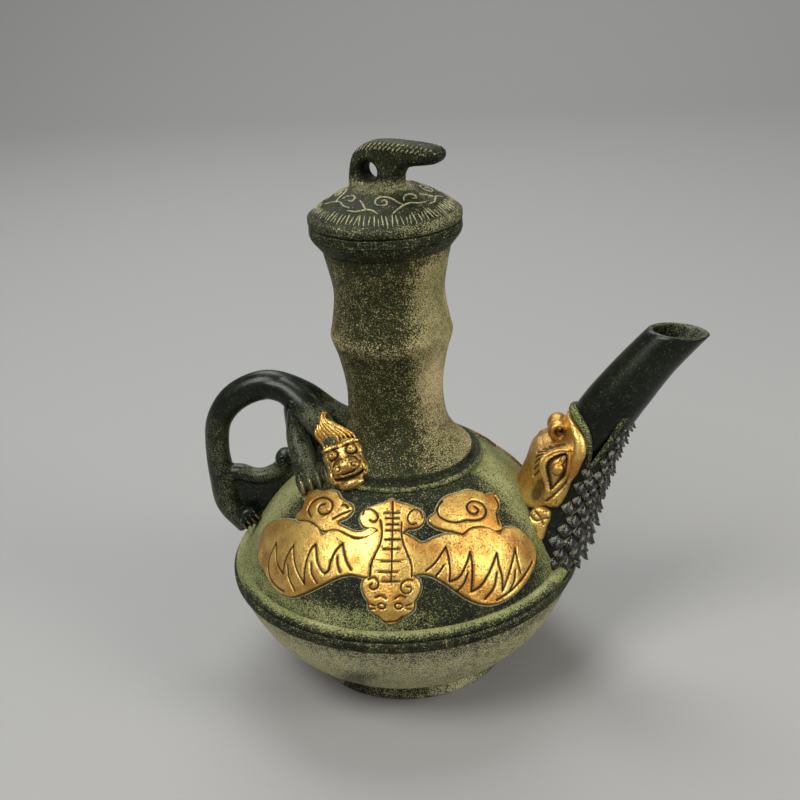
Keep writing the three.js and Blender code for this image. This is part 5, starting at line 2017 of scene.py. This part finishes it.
    def mouth_powder(self) -> Points:
        """Powder on the tube: on its lip and inside its mouth.

        Returns:
            Powder at each point, 0 for bare metal.
        """
        rows, sides = self.tube_grid
        inside_it = 0.27 * np.clip(1 - np.arange(rows) / (0.16 * rows), 0, 1)
        return np.repeat(np.concatenate([np.zeros(rows - 1), self.lip_powder, inside_it]), sides)

    def throat_skin(self) -> Solid:
        """Throat up to the lip, turned in at the lip and closed on the tube.

        Returns:
            Points and faces.
        """
        rows, sides = 70, 120
        angle = np.radians(np.linspace(-180, 180, sides, endpoint=False) + 1.0)
        end = self.jaw_share(angle)
        share = end[None] * np.linspace(0, 1, rows)[:, None]
        outer = self.throat.place(share, angle[None])
        edge = outer[-1]
        inner = self.throat.place(end * 0.985, angle, -1.1)
        deep = self.tube_bar.place(self.tube_share(edge), angle, -0.6)
        points = np.concatenate([outer, inner[None], ((inner + deep) / 2)[None], deep[None]]).reshape(-1, 3)
        faces = grid_faces(rows + 3, sides)
        faces.append(tuple(reversed(range(sides))))
        faces.append(tuple(range((rows + 2) * sides, (rows + 3) * sides)))
        return points, faces

    def tube_share(self, edge: Points) -> Points:
        """Share of the tube's length a little below each point of the lip.

        Args:
            edge: Points of the lip.

        Returns:
            One share for each point.
        """
        share = np.linspace(0, 1, 400)
        centre, along, _, _ = self.tube_bar.axes(share)
        out = []
        for point in edge:
            gap = ((point - centre) * along).sum(1)
            out.append(share[np.abs(gap).argmin()] - 0.045)
        return np.array(out)

    def scales(self, bench: Bench) -> Object:
        """Lozenge scales in staggered rows, their free tips towards the foot.

        Args:
            bench: Bench that holds the finishes and takes the finished pieces.

        Returns:
            The piece.
        """
        shape = self.one_scale()
        chance = np.random.default_rng(self.scale_seed)
        places, turns, sizes = [], [], []
        for row in range(self.row_count):
            share = 0.02 + 0.94 * row / (self.row_count - 1)
            gap = self.row_gap * (0.60 + 0.50 * share)
            reach = math.radians(95) / gap
            for column in np.arange(-math.floor(reach), reach + 0.01, 1.0) + (0.5 if row % 2 else 0.0):
                angle = column * gap + chance.uniform(-0.035, 0.035)
                lip = self.jaw_share(np.array((angle, abs(angle) + 0.20))).min()
                if share > lip - 0.04 or abs(angle) > math.radians(90):
                    continue
                point, turn = self.frame_at(share + chance.uniform(-0.006, 0.006), angle)
                if point[2] < self.band_top - 0.6:
                    continue
                places.append(point)
                turns.append(turn)
                sizes.append((1.10 - 0.25 * share) * chance.uniform(0.9, 1.12))
        finish = bench.finish(SCALE_BRONZE)
        tables = (np.array(table) for table in (places, turns, sizes))
        return bench.trees.lay("throat_scales_cast", shape, *tables, finish)

    def frame_at(self, share: float, angle: float) -> tuple[Points, Row]:
        """Point on the throat and the turn that lays X down it and Z off it.

        Args:
            share: Place along the throat, 0 to 1.
            angle: Angle round it, in radians.

        Returns:
            The point, and the turn about X, Y and Z.
        """
        point = self.throat.place(share, angle, 0.1)
        off = self.throat.place(share, angle, 1.0) - self.throat.place(share, angle, 0.0)
        _, along, _, _ = self.throat.axes(np.asarray(share))
        z = Vector(off).normalized()
        x = (Vector(-along) - z * Vector(-along).dot(z)).normalized()
        y = z.cross(x)
        return point, tuple(Matrix((x, y, z)).transposed().to_euler())

    def one_scale(self) -> Object:
        """One lozenge scale: X to its tip, Z off the throat, lifted at the tip.

        Returns:
            The scale.
        """
        columns = (-1, -0.5, 0, 0.5, 1)
        points, under, ink = [], [], []
        for x, half, rise in self.scale_rows:
            for share in columns:
                height = rise + 0.55 * (1 - abs(share)) - 0.2 * share**2
                points.append((x + 0.3 * share**2, share * half, height))
                under.append((x * 0.9, share * half * 0.85, rise - 0.9 - 0.15 * share**2))
                ink.append(0.06 + 0.05 * (1 - abs(share)) if abs(share) < 0.9 else 0.58)
        wide, count = len(columns), len(points)
        faces = grid_faces(len(self.scale_rows), wide, wrap=False)
        faces += [tuple(i + count for i in reversed(f)) for f in faces]
        edge = [*range(wide), *range(2 * wide - 1, count, wide)]
        edge += [*range(count - 2, count - wide - 1, -1), *range(count - 2 * wide, 0, -wide)]
        faces += [(b, a, a + count, b + count) for a, b in zip(edge, edge[1:] + edge[:1])]
        return make_mesh("scale", np.array(points + under), faces, np.r_[ink, np.zeros(count)])

    def lip_rim(self, bench: Bench) -> Object:
        """Raised rim along the V of both lips, heavier over the tube, with a curled tip below it.

        Args:
            bench: Bench that holds the finishes and takes the finished pieces.

        Returns:
            The piece.
        """
        lift = 0.15
        degrees = np.linspace(-180, 180, 361)
        angle = np.radians(degrees)
        line = self.throat.place(self.jaw_share(angle), angle, lift)
        girth = np.interp(np.abs(degrees), *zip(*self.lip_girth))
        tip = smooth_path(self.throat.place(1.0, 0.0, lift) + np.array(self.lip_tip), 16)
        thin = np.linspace(0.95, 0.45, len(tip))
        rim = bench.trees.tube("mouth_lip", [line, tip], [girth, thin], bench.finish(PATINA), 10)
        return dusted(rim, lambda points: 0.16 + 0.12 * ramp(points[:, 0], 62, 54))

    def chart(self, flat: Points, lift: Points) -> Points:
        """Flat points laid on the throat: across from its inner side, up its length."""
        angle = math.pi + flat[:, 0] / self.chart_radius
        return self.throat.place(flat[:, 1] / self.chart_length, angle, lift)

    def flat(self, drawn: Sequence[Pair], side: Side = Side.FRONT) -> Points:
        """Points drawn as (degrees from the outer side, share) in the flat chart.

        Args:
            drawn: Degrees and share of each point.
            side: Side of the throat.

        Returns:
            One flat point for each.
        """
        table = np.asarray(drawn, float)
        across = np.radians(180 - table[:, 0]) * self.chart_radius
        return np.stack([-side.value * across, table[:, 1] * self.chart_length], -1)

    def face(self) -> ReliefSheet:
        """Gilt face from the snout to the cheeks, with sunk eyes between raised lids, and lashes.

        Returns:
            The plate, ready to build.
        """
        half = self.flat(self.face_half)
        other = half[1:-1][::-1] * (-1, 1)
        outline = smooth_path(np.vstack([half, other]), 220, closed=True)
        strokes: list[Stroke] = []
        bumps: list[Row] = []
        hollows: list[tuple[Points, float]] = []
        for side in Side:
            for line, width, depth, ink in (
                (self.upper_lid, 0.75, 0.75, 0.0),
                (self.lower_lid, 0.6, 0.6, 0.0),
                (self.cheek_fold, 0.5, -0.5, 0.9),
                (self.stain, 2.6, 0.0, 0.85),
                (self.lip_shade, 2.4, 0.0, 0.55),
                (self.brow_shade, 3.2, 0.0, 0.48),
                *((lash, 0.42, -0.5, 0.95) for lash in self.lashes),
            ):
                strokes.append(Stroke(self.flat(line, side), width, depth, ink))
            hollows.append((smooth_path(self.flat(self.socket, side), 60, closed=True), 1.5))
            for degrees, share, wide, tall, rise in self.swells:
                x, y = self.flat([(degrees, share)], side)[0]
                bumps.append((x, y, wide, tall, rise))
        return ReliefSheet(
            "dragon_face_relief",
            outline,
            self.chart,
            lambda flat: np.ones(len(flat)),
            strokes,
            thickness=1.2,
            edge=1.2,
            rim=0.4,
            bumps=bumps,
            hollows=hollows,
        )

    def gill_leaf(self, side: Side) -> ReliefSheet:
        """Gilt two-lobed leaf behind the jaw.

        Args:
            side: Side of the flask.

        Returns:
            The plate, ready to build.
        """
        return ReliefSheet(
            f"gill_leaf_{side.word}_relief",
            smooth_path(self.flat(self.gill, side), 90, closed=True),
            self.chart,
            lambda flat: np.full(len(flat), 1.3),
            [Stroke(self.flat(line, side), width=0.4, depth=-0.3, ink=0.9) for line in self.gill_lines],
            thickness=1.5,
            edge=0.9,
            rim=0.5,
        )

    def eye(self, side: Side) -> Object:
        """Round eyeball with a drop above it, in the socket.

        Args:
            side: Side of the flask.

        Returns:
            The piece.
        """

        def at(x: float, y: float, lift: float) -> Points:
            """One flat point laid on the throat."""
            return self.chart(np.array([[x, y]]), np.array([lift]))[0]

        solids = []
        for degrees, share, lift, *halves in self.eye_balls:
            x, y = self.flat([(degrees, share)], side)[0]
            centre = at(x, y, lift)
            off = Vector(at(x, y, lift + 1) - centre).normalized()
            up = Vector(at(x, y + 1.0, lift) - centre).normalized()
            up = (up - off * up.dot(off)).normalized()
            solids.append(ball(centre, halves, (up.cross(off), up, off)))
        return fused(f"dragon_eye_{side.word}_cast", solids, voxel=0.15, soften=2)

    def curl(self, side: Side) -> Object:
        """Curled nostril, a broad roll that winds in on itself.

        Args:
            side: Side of the flask.

        Returns:
            The piece.
        """
        x, z = self.curl_centre
        across, wide = self.curl_across
        stations = []
        for t in np.linspace(0, 1, 30):
            turn = math.radians(-45 - 290 * t)
            radius, thick = 2.7 - 0.7 * t, 1.3 - 0.35 * t
            place = (x + radius * math.cos(turn), side.value * across, z + radius * math.sin(turn))
            stations.append((*place, thick, wide))
        roll = Sweep(tuple(stations)).solid(90, 20)
        return fused(f"nostril_curl_{side.word}_cast", [roll], voxel=0.16, soften=4)

    def snout_roll(self, side: Side, bench: Bench) -> Object:
        """Smooth gilt roll along the upper jaw.

        Args:
            side: Side of the flask.
            bench: Bench that holds the finishes and takes the finished pieces.

        Returns:
            The piece.
        """
        count = 60
        flat = smooth_path(self.flat(self.snout_line, side), count)
        line = self.chart(flat, np.full(count, 1.3))
        girth = np.interp(np.linspace(0, 1, count), *zip(*self.snout_girth))
        return bench.trees.tube(f"upper_lip_{side.word}_cast", [line], [girth], bench.finish(GILT), 18)


@dataclass
class Handle:
    """Beast handle: its body bent into the loop, its gilt mask and mane, and its paws."""

    band_radius: float = BAND_RADIUS
    band_top: float = BAND_TOP
    neck_foot: float = NECK_FOOT
    root: Row = (14.3 - 3, 6.4, 4.2, 3.8)
    scroll_at: Pair = (18.4, 31.6)
    scroll_halves: Row = (3.0, 4.6, 3.0)
    head_centre: Row = (-13.8, -15.8, 72.6)
    rosettes_at: Rows = ((-30.6, -7.6, 88.6), (-31.0, 5.3, 87.6))
    strands: Line = (
        (1.6, 0.60), (0.2, 0.75), (0.9, 0.55), (-0.5, 0.70), (0.3, 0.62), (-0.7, 0.72), (0.5, 0.52),
        (-0.3, 0.70), (0.7, 0.55),
    )
    neck_line: Rows = (
        (-38.5, 0.6, 92.5, 4.0), (-33.0, -0.6, 91.3, 4.2), (-27.4, -3.6, 87.8, 4.5),
        (-22.2, -7.0, 82.8, 4.2), (-16.4, -11.0, 76.0, 3.3),
    )
    leg_line: Rows = (
        (-29.3, 1.5, 89.0, 3.6, 3.6), (-29.4, 3.5, 84.0, 3.5, 3.6), (-29.6, 6.5, 78.0, 3.5, 3.8),
        (-27.2, 11.0, 72.4, 3.8, 4.0), (-24.9, 14.0, 68.4, 2.8, 3.0), (-23.9, 15.4, 66.2, 1.8, 2.0),
    )
    loop_line: Rows = (
        (-34.5, 46.6, 4.0, 3.8), (-26, 52.8, 4.4, 4.2), (-15.5, 56.3, 4.6, 4.2), (-5.5, 52.7, 4.4, 4.1),
        (0.6, 45.2, 3.9, 3.9), (2.3, 35.7, 3.7, 3.8), (1.8, 25.2, 4.1, 4.2), (0.4, 16.4, 4.4, 4.5),
        (-5.0, 9.0, 4.2, 4.5),
    )
    chest_line: Rows = (
        (-24.5, 54, 4, 4), (-24.2, 47.7, 4.6, 5), (-24.4, 39.7, 4.4, 5.2), (-24.7, 31.7, 4.2, 5.2),
        (-25, 22, 4, 5.2),
    )
    tail_line: Rows = (
        (1.0, 26.2, 2.9, 2.9), (-4, 26.9, 2.7, 2.8), (-8, 25.6, 2.5, 2.8), (-12, 25.6, 2.5, 2.8),
        (-15.5, 27.2, 2.5, 2.9), (-18.5, 30.0, 2.8, 3.0),
    )
    web_outline: Line = ((-1, 11), (0, 27), (-8, 26), (-18, 31), (-24, 33), (-24, 22), (-9, 8))
    web_half: float = 1.7
    fore_ways: Rows = ((0.30, 0.52, -0.80), (0.94, -0.30, 0.12))
    fore_size: float = 1.14
    hind_at: Row = (-48.0, 4.6, 49.8)
    hind_ways: Rows = ((0.58, 0.16, -0.80), (0.78, -0.25, 0.58))
    hind_size: float = 0.72
    pad: Row = (2.8, 4.0, 2.4)
    toe: Row = (3.1, 1.22, 2.5)
    claw: Row = (2.5, 0.68, 1.75)
    furrow: Rows = ((-28.6, -3.4, 96.0), (-25.0, -4.2, 92.2), (-21.6, -5.0, 87.2), (-19.4, -6.0, 83.0))
    mask_lumps: Rows = (
        (0, 0, 0.2, 8.2, 6.3, 4.2), (-3.9, 0, 0.6, 4.6, 6.5, 3.6), (0.9, 0, 3.9, 2.3, 3.0, 2.2),
        (6.5, 0, 2.6, 1.6, 3.8, 2.0),
    )
    mask_pairs: Rows = (
        (-5.7, 2.9, 3.0, 1.1, 3.0, 1.4), (-3.4, 2.9, 3.4, 1.45, 1.6, 1.5), (1.7, 2.5, 4.2, 1.6, 1.7, 1.7),
        (2.4, 4.5, 2.2, 2.8, 1.7, 1.8),
    )

    def at(self, stations: Rows) -> Sweep:
        """Sweep along stations given beyond the band and above it."""
        return Sweep(tuple((-self.band_radius - r, 0, self.band_top + z, a, b) for r, z, a, b in stations))

    def build(self, bench: Bench) -> None:
        """Makes and dresses the handle's pieces.

        Args:
            bench: Bench that holds the finishes and takes the finished pieces.
        """
        bench.add(self.loop(), DARK_BRONZE, Slot.DARK, ("handle_loop",))
        bench.add(self.mask(), DULL_GILT, Slot.GILT, ("beast_head",))
        bench.add(self.mane(bench), GILT, Slot.GILT, ("beast_mane",))
        bench.add(self.rosettes(bench), DARK_BRONZE, Slot.DARK)
        for side in Side:
            self.foreleg(side, bench)
            self.hind_paw(side, bench)

    def loop(self) -> Object:
        """Body and tail of the beast, bent into the loop, with its neck, chest and a web below the tail.

        Returns:
            The piece.
        """
        r, z, *girth = self.root
        root = (r - self.band_radius, self.neck_foot + z - self.band_top, *girth)
        chest, tail = self.at(self.chest_line), self.at(self.tail_line)
        neck = Sweep(tuple((x, -1.0 + y, z, r, r) for x, y, z, r in self.neck_line))
        solids = [self.at((root, *self.loop_line)).solid(80, 20), chest.solid(24, 18), tail.solid(30, 16)]
        solids += [neck.solid(24, 18), self.web()]
        x, z = self.scroll_at
        solids.append(ball((x - self.band_radius, 0, self.band_top + z), self.scroll_halves))
        cast = fused("handle_loop_cast", solids, voxel=0.36, soften=8)
        return dusted(worked(cast, self.loop_lines()), self.dust)

    def web(self) -> Solid:
        """Thin plate that fills the corner below the tail.

        Returns:
            Points and faces.
        """
        flat = np.array([(-self.band_radius - r, self.band_top + z) for r, z in self.web_outline])
        count = len(flat)
        sides = (-self.web_half, self.web_half)
        points = np.vstack([np.c_[flat[:, 0], np.full(count, y), flat[:, 1]] for y in sides])
        faces: Faces = [tuple(range(count)), tuple(reversed(range(count, 2 * count)))]
        faces += [((i + 1) % count, i, i + count, (i + 1) % count + count) for i in range(count)]
        return points, faces

    def loop_lines(self) -> list[Stroke]:
        """Hole in the scroll, and the furrow behind the neck.

        Returns:
            The strokes.
        """
        spiral = []
        for t in np.linspace(0, 3.0 * math.pi, 25):
            r = 1.9 - 0.55 * t / math.pi
            deep = -4.5 * math.sqrt(1 - (r / 3.2) ** 2)
            spiral.append((-35.6 + r * math.cos(t), deep, 67.9 + r * math.sin(t)))
        holes = [np.array(spiral) * (1, way, 1) for way in (1, -1)]
        strokes = [Stroke(hole, width=0.6, depth=-0.9, ink=0.0) for hole in holes]
        return [*strokes, Stroke(self.furrow, width=0.8, depth=-0.9, ink=0.6)]

    @staticmethod
    def dust(points: Points) -> Points:
        """Olive powder on the handle: on the chest, along the tail's top and at the foot, but not on the web,
        left dark as painted shade.

        Args:
            points: Points of the piece.

        Returns:
            Powder at each point, 0 for bare metal.
        """
        x, _, z = points.T
        chest = 0.26 * ramp(x, -36, -31) * ramp(z, 88, 80) * ramp(x, -20, -24) * ramp(z, 69, 74)
        tail = 0.34 * np.exp(-(((z - 64.5) / 4) ** 2)) * ramp(x, -53, -46)
        # The foot's powder keeps to the loop's bar, so the web below the tail stays dark as painted shade.
        foot = 0.30 * ramp(z, 60, 48) * ramp(x, -49, -52)
        outer = 0.24 * ramp(x, -50, -53) * ramp(z, 88, 76)
        neck = 0.36 * ramp(x, -31, -26) * ramp(z, 92, 86)
        return np.maximum.reduce([chest, tail, foot, outer, neck])

    def head_axes(self) -> tuple[Vector, Vector, Vector, Vector]:
        """Middle of the beast's head, and its ways to the chin, to the cheek and out of the face.

        Returns:
            The middle and three unit ways.
        """
        chin = Vector((0.314, -0.673, -0.667)).normalized()
        face = Vector((-0.08, -0.72, 0.69))
        face = (face - chin * face.dot(chin)).normalized()
        return Vector(self.head_centre), chin, chin.cross(face), face

    def on_head(self, down: float, across: float, out: float) -> Vector:
        """Point given from the middle of the head."""
        centre, chin, cheek, face = self.head_axes()
        return centre + chin * down + cheek * across + face * out

    def mask(self) -> Object:
        """Gilt mask: heavy brows, round eyes, a swirled snout, cheeks and a toothed mouth.

        Returns:
            The piece.
        """
        _, chin, cheek, face = self.head_axes()
        solids = [ball(self.on_head(*lump[:3]), lump[3:], (chin, cheek, face)) for lump in self.lumps()]
        return worked(fused("beast_head_cast", solids, voxel=0.18, soften=3), self.mask_lines())

    def lumps(self) -> list[Row]:
        """Balls the mask is made of: place towards chin, cheek and out of the face, then half sizes."""
        pairs = [(d, way * c, *rest) for way in (1, -1) for d, c, *rest in self.mask_pairs]
        return [*self.mask_lumps, *pairs]

    def skin(self, down: float, across: float) -> Row:
        """Point of the mask's skin, from the middle of the head.

        Args:
            down: Distance towards the chin.
            across: Distance towards the cheek.

        Returns:
            The point.
        """
        out = 0.0
        for d, c, o, tall, wide, deep in self.lumps():
            room = 1 - ((down - d) / tall) ** 2 - ((across - c) / wide) ** 2
            out = max(out, o + deep * math.sqrt(room)) if room > 0 else out
        return tuple(self.on_head(down, across, out - 0.1))

    def mask_lines(self) -> list[Stroke]:
        """Lines cut into the mask.

        Returns:
            The strokes.
        """
        turn = np.linspace(0, 2 * math.pi, 19)
        drawn = [([(4.75 - 0.05 * c * c, c) for c in np.linspace(-4.2, 4.2, 13)], 0.8, -1.0)]
        drawn += [([(3.9, c), (4.6, c)], 0.28, -0.35) for c in (-2.4, -1.2, 0.0, 1.2, 2.4)]
        drawn.append(([(3.4 - 0.03 * c * c, c) for c in np.linspace(-3.4, 3.4, 9)], 0.42, -0.5))
        drawn += [([(-1.6, c), (0.2, c * 0.6)], 0.3, -0.3) for c in (-0.9, 0.9)]
        for way in (1, -1):
            swirl = [(1.8 + 0.85 * math.cos(t), way * (2.6 - 0.9 * math.sin(t))) for t in turn[:13]]
            drawn += [
                ([(-3.4 + 1.5 * math.cos(t), way * 2.9 + 1.65 * math.sin(t)) for t in turn], 0.45, -0.45),
                ([(-3.4, way * 2.9), (-3.3, way * 2.8)], 0.5, -0.3),
                (swirl, 0.36, -0.45),
                ([(-1.7, way * 1.4), (-0.9, way * 3.2), (0.8, way * 4.3), (3.0, way * 4.5)], 0.42, -0.5),
                ([(-1.2, way * 4.9), (1.4, way * 5.7), (4.4, way * 5.0)], 0.4, -0.4),
                ([(-6.9, way * c) for c in (0.3, 2.0, 4.6)], 0.42, -0.45),
                ([(-5.0, way * c) for c in (0.7, 2.4, 4.8)], 0.42, -0.45),
            ]
        return [Stroke(tuple(self.skin(d, c) for d, c in line), width, depth) for line, width, depth in drawn]

    def mane(self, bench: Bench) -> Object:
        """Gilt strands that fall over the neck of the beast to its brow.

        Args:
            bench: Bench that holds the finishes and takes the finished pieces.

        Returns:
            The piece.
        """
        lines, girths = [], []
        for k, (fall, girth) in enumerate(self.strands):
            share = (k - 4) / 4
            height = 86.2 + 0.8 * share - 1.4 * abs(share)
            start = np.array([-21.2 + 1.0 * share, -10.6 + 0.4 * share**2, height])
            end = np.array(self.on_head(-8.2 + 0.3 * fall, -4.6 * share, 3.4 - 1.1 * share**2))
            tip = np.array(self.on_head(-6.8 + 0.9 * fall, -5.1 * share, 4.0 - 1.3 * share**2))
            middle = (start + end) / 2 + np.array([-0.9 + 0.5 * share, -1.1, 0.9])
            lines.append(smooth_path([start + (0.3, 1.6, 1.2), start, middle, end, tip], 24))
            girths.append(girth * np.interp(np.linspace(0, 1, 24), (0, 0.3, 0.75, 1), (0.4, 0.95, 1.0, 0.3)))
        return bench.trees.tube("beast_mane_cast", lines, girths, bench.finish(GILT), 10)

    def paw(self, centre: Row, ways: Rows, size: float, side: Side) -> tuple[list[Solid], list[Solid]]:
        """Pad and four toes, and their claws.

        Args:
            centre: Middle of the paw, in millimetres.
            ways: Way of the toes and way across them, on the back of the flask.
            size: Factor on all lengths.
            side: Front or back.

        Returns:
            The solids of the toes and those of the claws.
        """
        forward, across = (Vector((x, side.value * y, z)) for x, y, z in ways)
        forward.normalize()
        across = (across - forward * across.dot(forward)).normalized() * -side.value
        up = forward.cross(across).normalized()
        axes = (forward, across, up)
        pad, toe, claw = (np.array(halves) * size for halves in (self.pad, self.toe, self.claw))
        toes = [ball(Vector(centre) - forward * 1.4 * size, pad, axes)]
        claws = []
        for place in (-1.5, -0.5, 0.5, 1.5):
            step = across * place * 2.3 + forward * (1.4 - 0.3 * abs(place)) + up * 0.5
            middle = Vector(centre) + step * size
            toes.append(ball(middle, toe, axes))
            # The brown-gold claws on the toes' tops partly stand for a painted gleam.
            claws.append(ball(middle + (forward * 0.7 + up * 0.9) * size, claw, axes))
        return toes, claws

    def foreleg(self, side: Side, bench: Bench) -> None:
        """Makes the foreleg that rests on the shoulder, and its claws.

        Args:
            side: Side of the flask.
            bench: Bench that holds the finishes and takes the finished pieces.
        """
        bar = Sweep(tuple((x, side.value * y, z, a, b) for x, y, z, a, b in self.leg_line))
        toes, claws = self.paw(bar.stations[-2][:3], self.fore_ways, self.fore_size, side)
        leg = fused(f"foreleg_{side.word}_cast", [bar.solid(30, 18), *toes], voxel=0.2, soften=2)
        bench.add(dusted(leg, self.dust), DARK_BRONZE, Slot.DARK, (f"foreleg_{side.word}",))
        bench.add(fused(f"foreclaws_{side.word}", claws, voxel=0.15, soften=2), CLAW_AND_GLEAM, Slot.DARK)

    def rosettes(self, bench: Bench) -> Object:
        """Small ring with a boss on each side of the chest, at the top of the foreleg.

        Args:
            bench: Bench that holds the finishes and takes the finished pieces.

        Returns:
            The piece.
        """
        turn = np.linspace(0, 2 * math.pi, 25)
        lines, girths = [], []
        for place in self.rosettes_at:
            for radius, girth in ((1.55, 0.5), (0.12, 0.55)):
                ring = np.stack([np.cos(turn), math.copysign(0.5, place[1]) * np.cos(turn), np.sin(turn)], -1)
                lines.append(np.array(place) + radius * ring)
                girths.append(np.full(len(turn), girth))
        return bench.trees.tube("chest_rosettes", lines, girths, bench.finish(DARK_BRONZE), 10)

    def hind_paw(self, side: Side, bench: Bench) -> None:
        """Makes the hind paw on the foot of the loop, its claws down to the shoulder.

        Args:
            side: Side of the flask.
            bench: Bench that holds the finishes and takes the finished pieces.
        """
        x, y, z = self.hind_at
        toes, claws = self.paw((x, side.value * y, z), self.hind_ways, self.hind_size, side)
        paw = fused(f"hind_paw_{side.word}_cast", toes, voxel=0.2, soften=2)
        bench.add(paw, DARK_BRONZE, Slot.DARK, (f"hind_paw_{side.word}",))
        bench.add(fused(f"hind_claws_{side.word}", claws, voxel=0.15, soften=2), CLAW_AND_GLEAM, Slot.DARK)


# Stage


@dataclass(frozen=True)
class Lamp:
    """Soft square lamp: place, aim and size in metres, power in watts."""

    name: str
    place: Row
    aim: Row
    size: float
    power: float
    colour: Colour

    def build(self) -> None:
        """Hangs the lamp."""
        data = bpy.data.lights.new(self.name, "AREA")
        data.size = self.size
        data.energy = self.power
        data.color = self.colour
        lamp = linked(self.name, data)
        lamp.location = self.place
        way = Vector(self.aim) - Vector(self.place)
        lamp.rotation_euler = way.to_track_quat("-Z", "Y").to_euler()


@dataclass
class Studio:
    """Pale floor, soft lamps and the camera."""

    eye: Row = (33.33, -328.10, 232.42)
    heading: float = 0.09763
    pitch: float = 0.4163
    roll: float = 0.0585
    lens: float = 54.0
    floor_half: float = 3000.0
    wall_at: float = 900.0
    wall_bend: float = 500.0
    wall_height: float = 2500.0
    floor_colour: Colour = (0.28, 0.28, 0.275)
    floor_roughness: float = 0.8
    world_colour: Colour = (0.80, 0.81, 0.82)
    world_strength: float = 0.34
    lamps: tuple[Lamp, ...] = (
        Lamp("key", (-0.31, -0.36, 0.70), (0, 0, 0.07), 0.36, 5.1, (1.0, 0.98, 0.95)),
        Lamp("side", (0.60, -0.26, 0.44), (0, 0, 0.07), 0.30, 3.2, (1.0, 0.96, 0.90)),
        Lamp("back", (-0.20, 0.55, 0.75), (0, 0, 0.07), 0.45, 3.0, (0.96, 0.98, 1.0)),
        Lamp("wall", (0.00, 0.70, 1.70), (0, 1.4, 0.3), 0.80, 15.0, (1.0, 1.0, 1.0)),
    )

    def build(self) -> None:
        """Sets the stage."""
        scene = bpy.context.scene
        scene.view_settings.view_transform = "Standard"
        self.camera(scene)
        self.floor()
        self.light(scene)

    def camera(self, scene: Scene) -> None:
        """Camera at the photograph's angle.

        Args:
            scene: Scene that gets the camera.
        """
        data = bpy.data.cameras.new("camera")
        data.lens = self.lens
        data.sensor_width = 36.0
        data.clip_start = 0.01
        turn = Matrix.Rotation(self.heading, 4, "Z") @ Matrix.Rotation(math.pi / 2 - self.pitch, 4, "X")
        turn = turn @ Matrix.Rotation(-self.roll, 4, "Z")
        scene.camera = linked("camera", data)
        scene.camera.matrix_world = Matrix.Translation(Vector(self.eye) * MM) @ turn

    def floor(self) -> None:
        """Plain pale floor that sweeps up into a wall behind the flask."""
        half, start, bend = self.floor_half, self.wall_at, self.wall_bend
        turn = np.linspace(0, math.pi / 2, 17)
        sweep = [(start + bend * math.sin(t), bend * (1 - math.cos(t))) for t in turn]
        line = [(-half, 0.0), *sweep, (start + bend, self.wall_height)]
        points = np.array([(x, y, z) for y, z in line for x in (-half, half)])
        faces = [(2 * i, 2 * i + 1, 2 * i + 3, 2 * i + 2) for i in range(len(line) - 1)]
        floor = make_mesh("floor", points, faces)
        material = bpy.data.materials.new("pale floor")
        material.use_nodes = True
        skin = material.node_tree.nodes["Principled BSDF"]
        skin.inputs["Base Color"].default_value = (*self.floor_colour, 1)
        skin.inputs["Roughness"].default_value = self.floor_roughness
        floor.data.materials.append(material)

    def light(self, scene: Scene) -> None:
        """World light, three soft lamps for the flask and one for the wall.

        Args:
            scene: Scene that gets the world.
        """
        world = bpy.data.worlds.new("studio")
        world.use_nodes = True
        sky = world.node_tree.nodes["Background"]
        sky.inputs["Color"].default_value = (*self.world_colour, 1)
        sky.inputs["Strength"].default_value = self.world_strength
        scene.world = world
        for lamp in self.lamps:
            lamp.build()


def main() -> None:
    """Builds the flask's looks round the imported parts."""
    logging.basicConfig(level=logging.INFO, format="%(name)s: %(message)s")
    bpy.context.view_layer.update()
    bench = Bench()
    vessel = Vessel()
    Studio().build()
    vessel.build(bench)
    Panels(vessel).build(bench)
    Lid().build(bench)
    Spout().build(bench)
    Handle().build(bench)


if __name__ == "__main__":
    main()
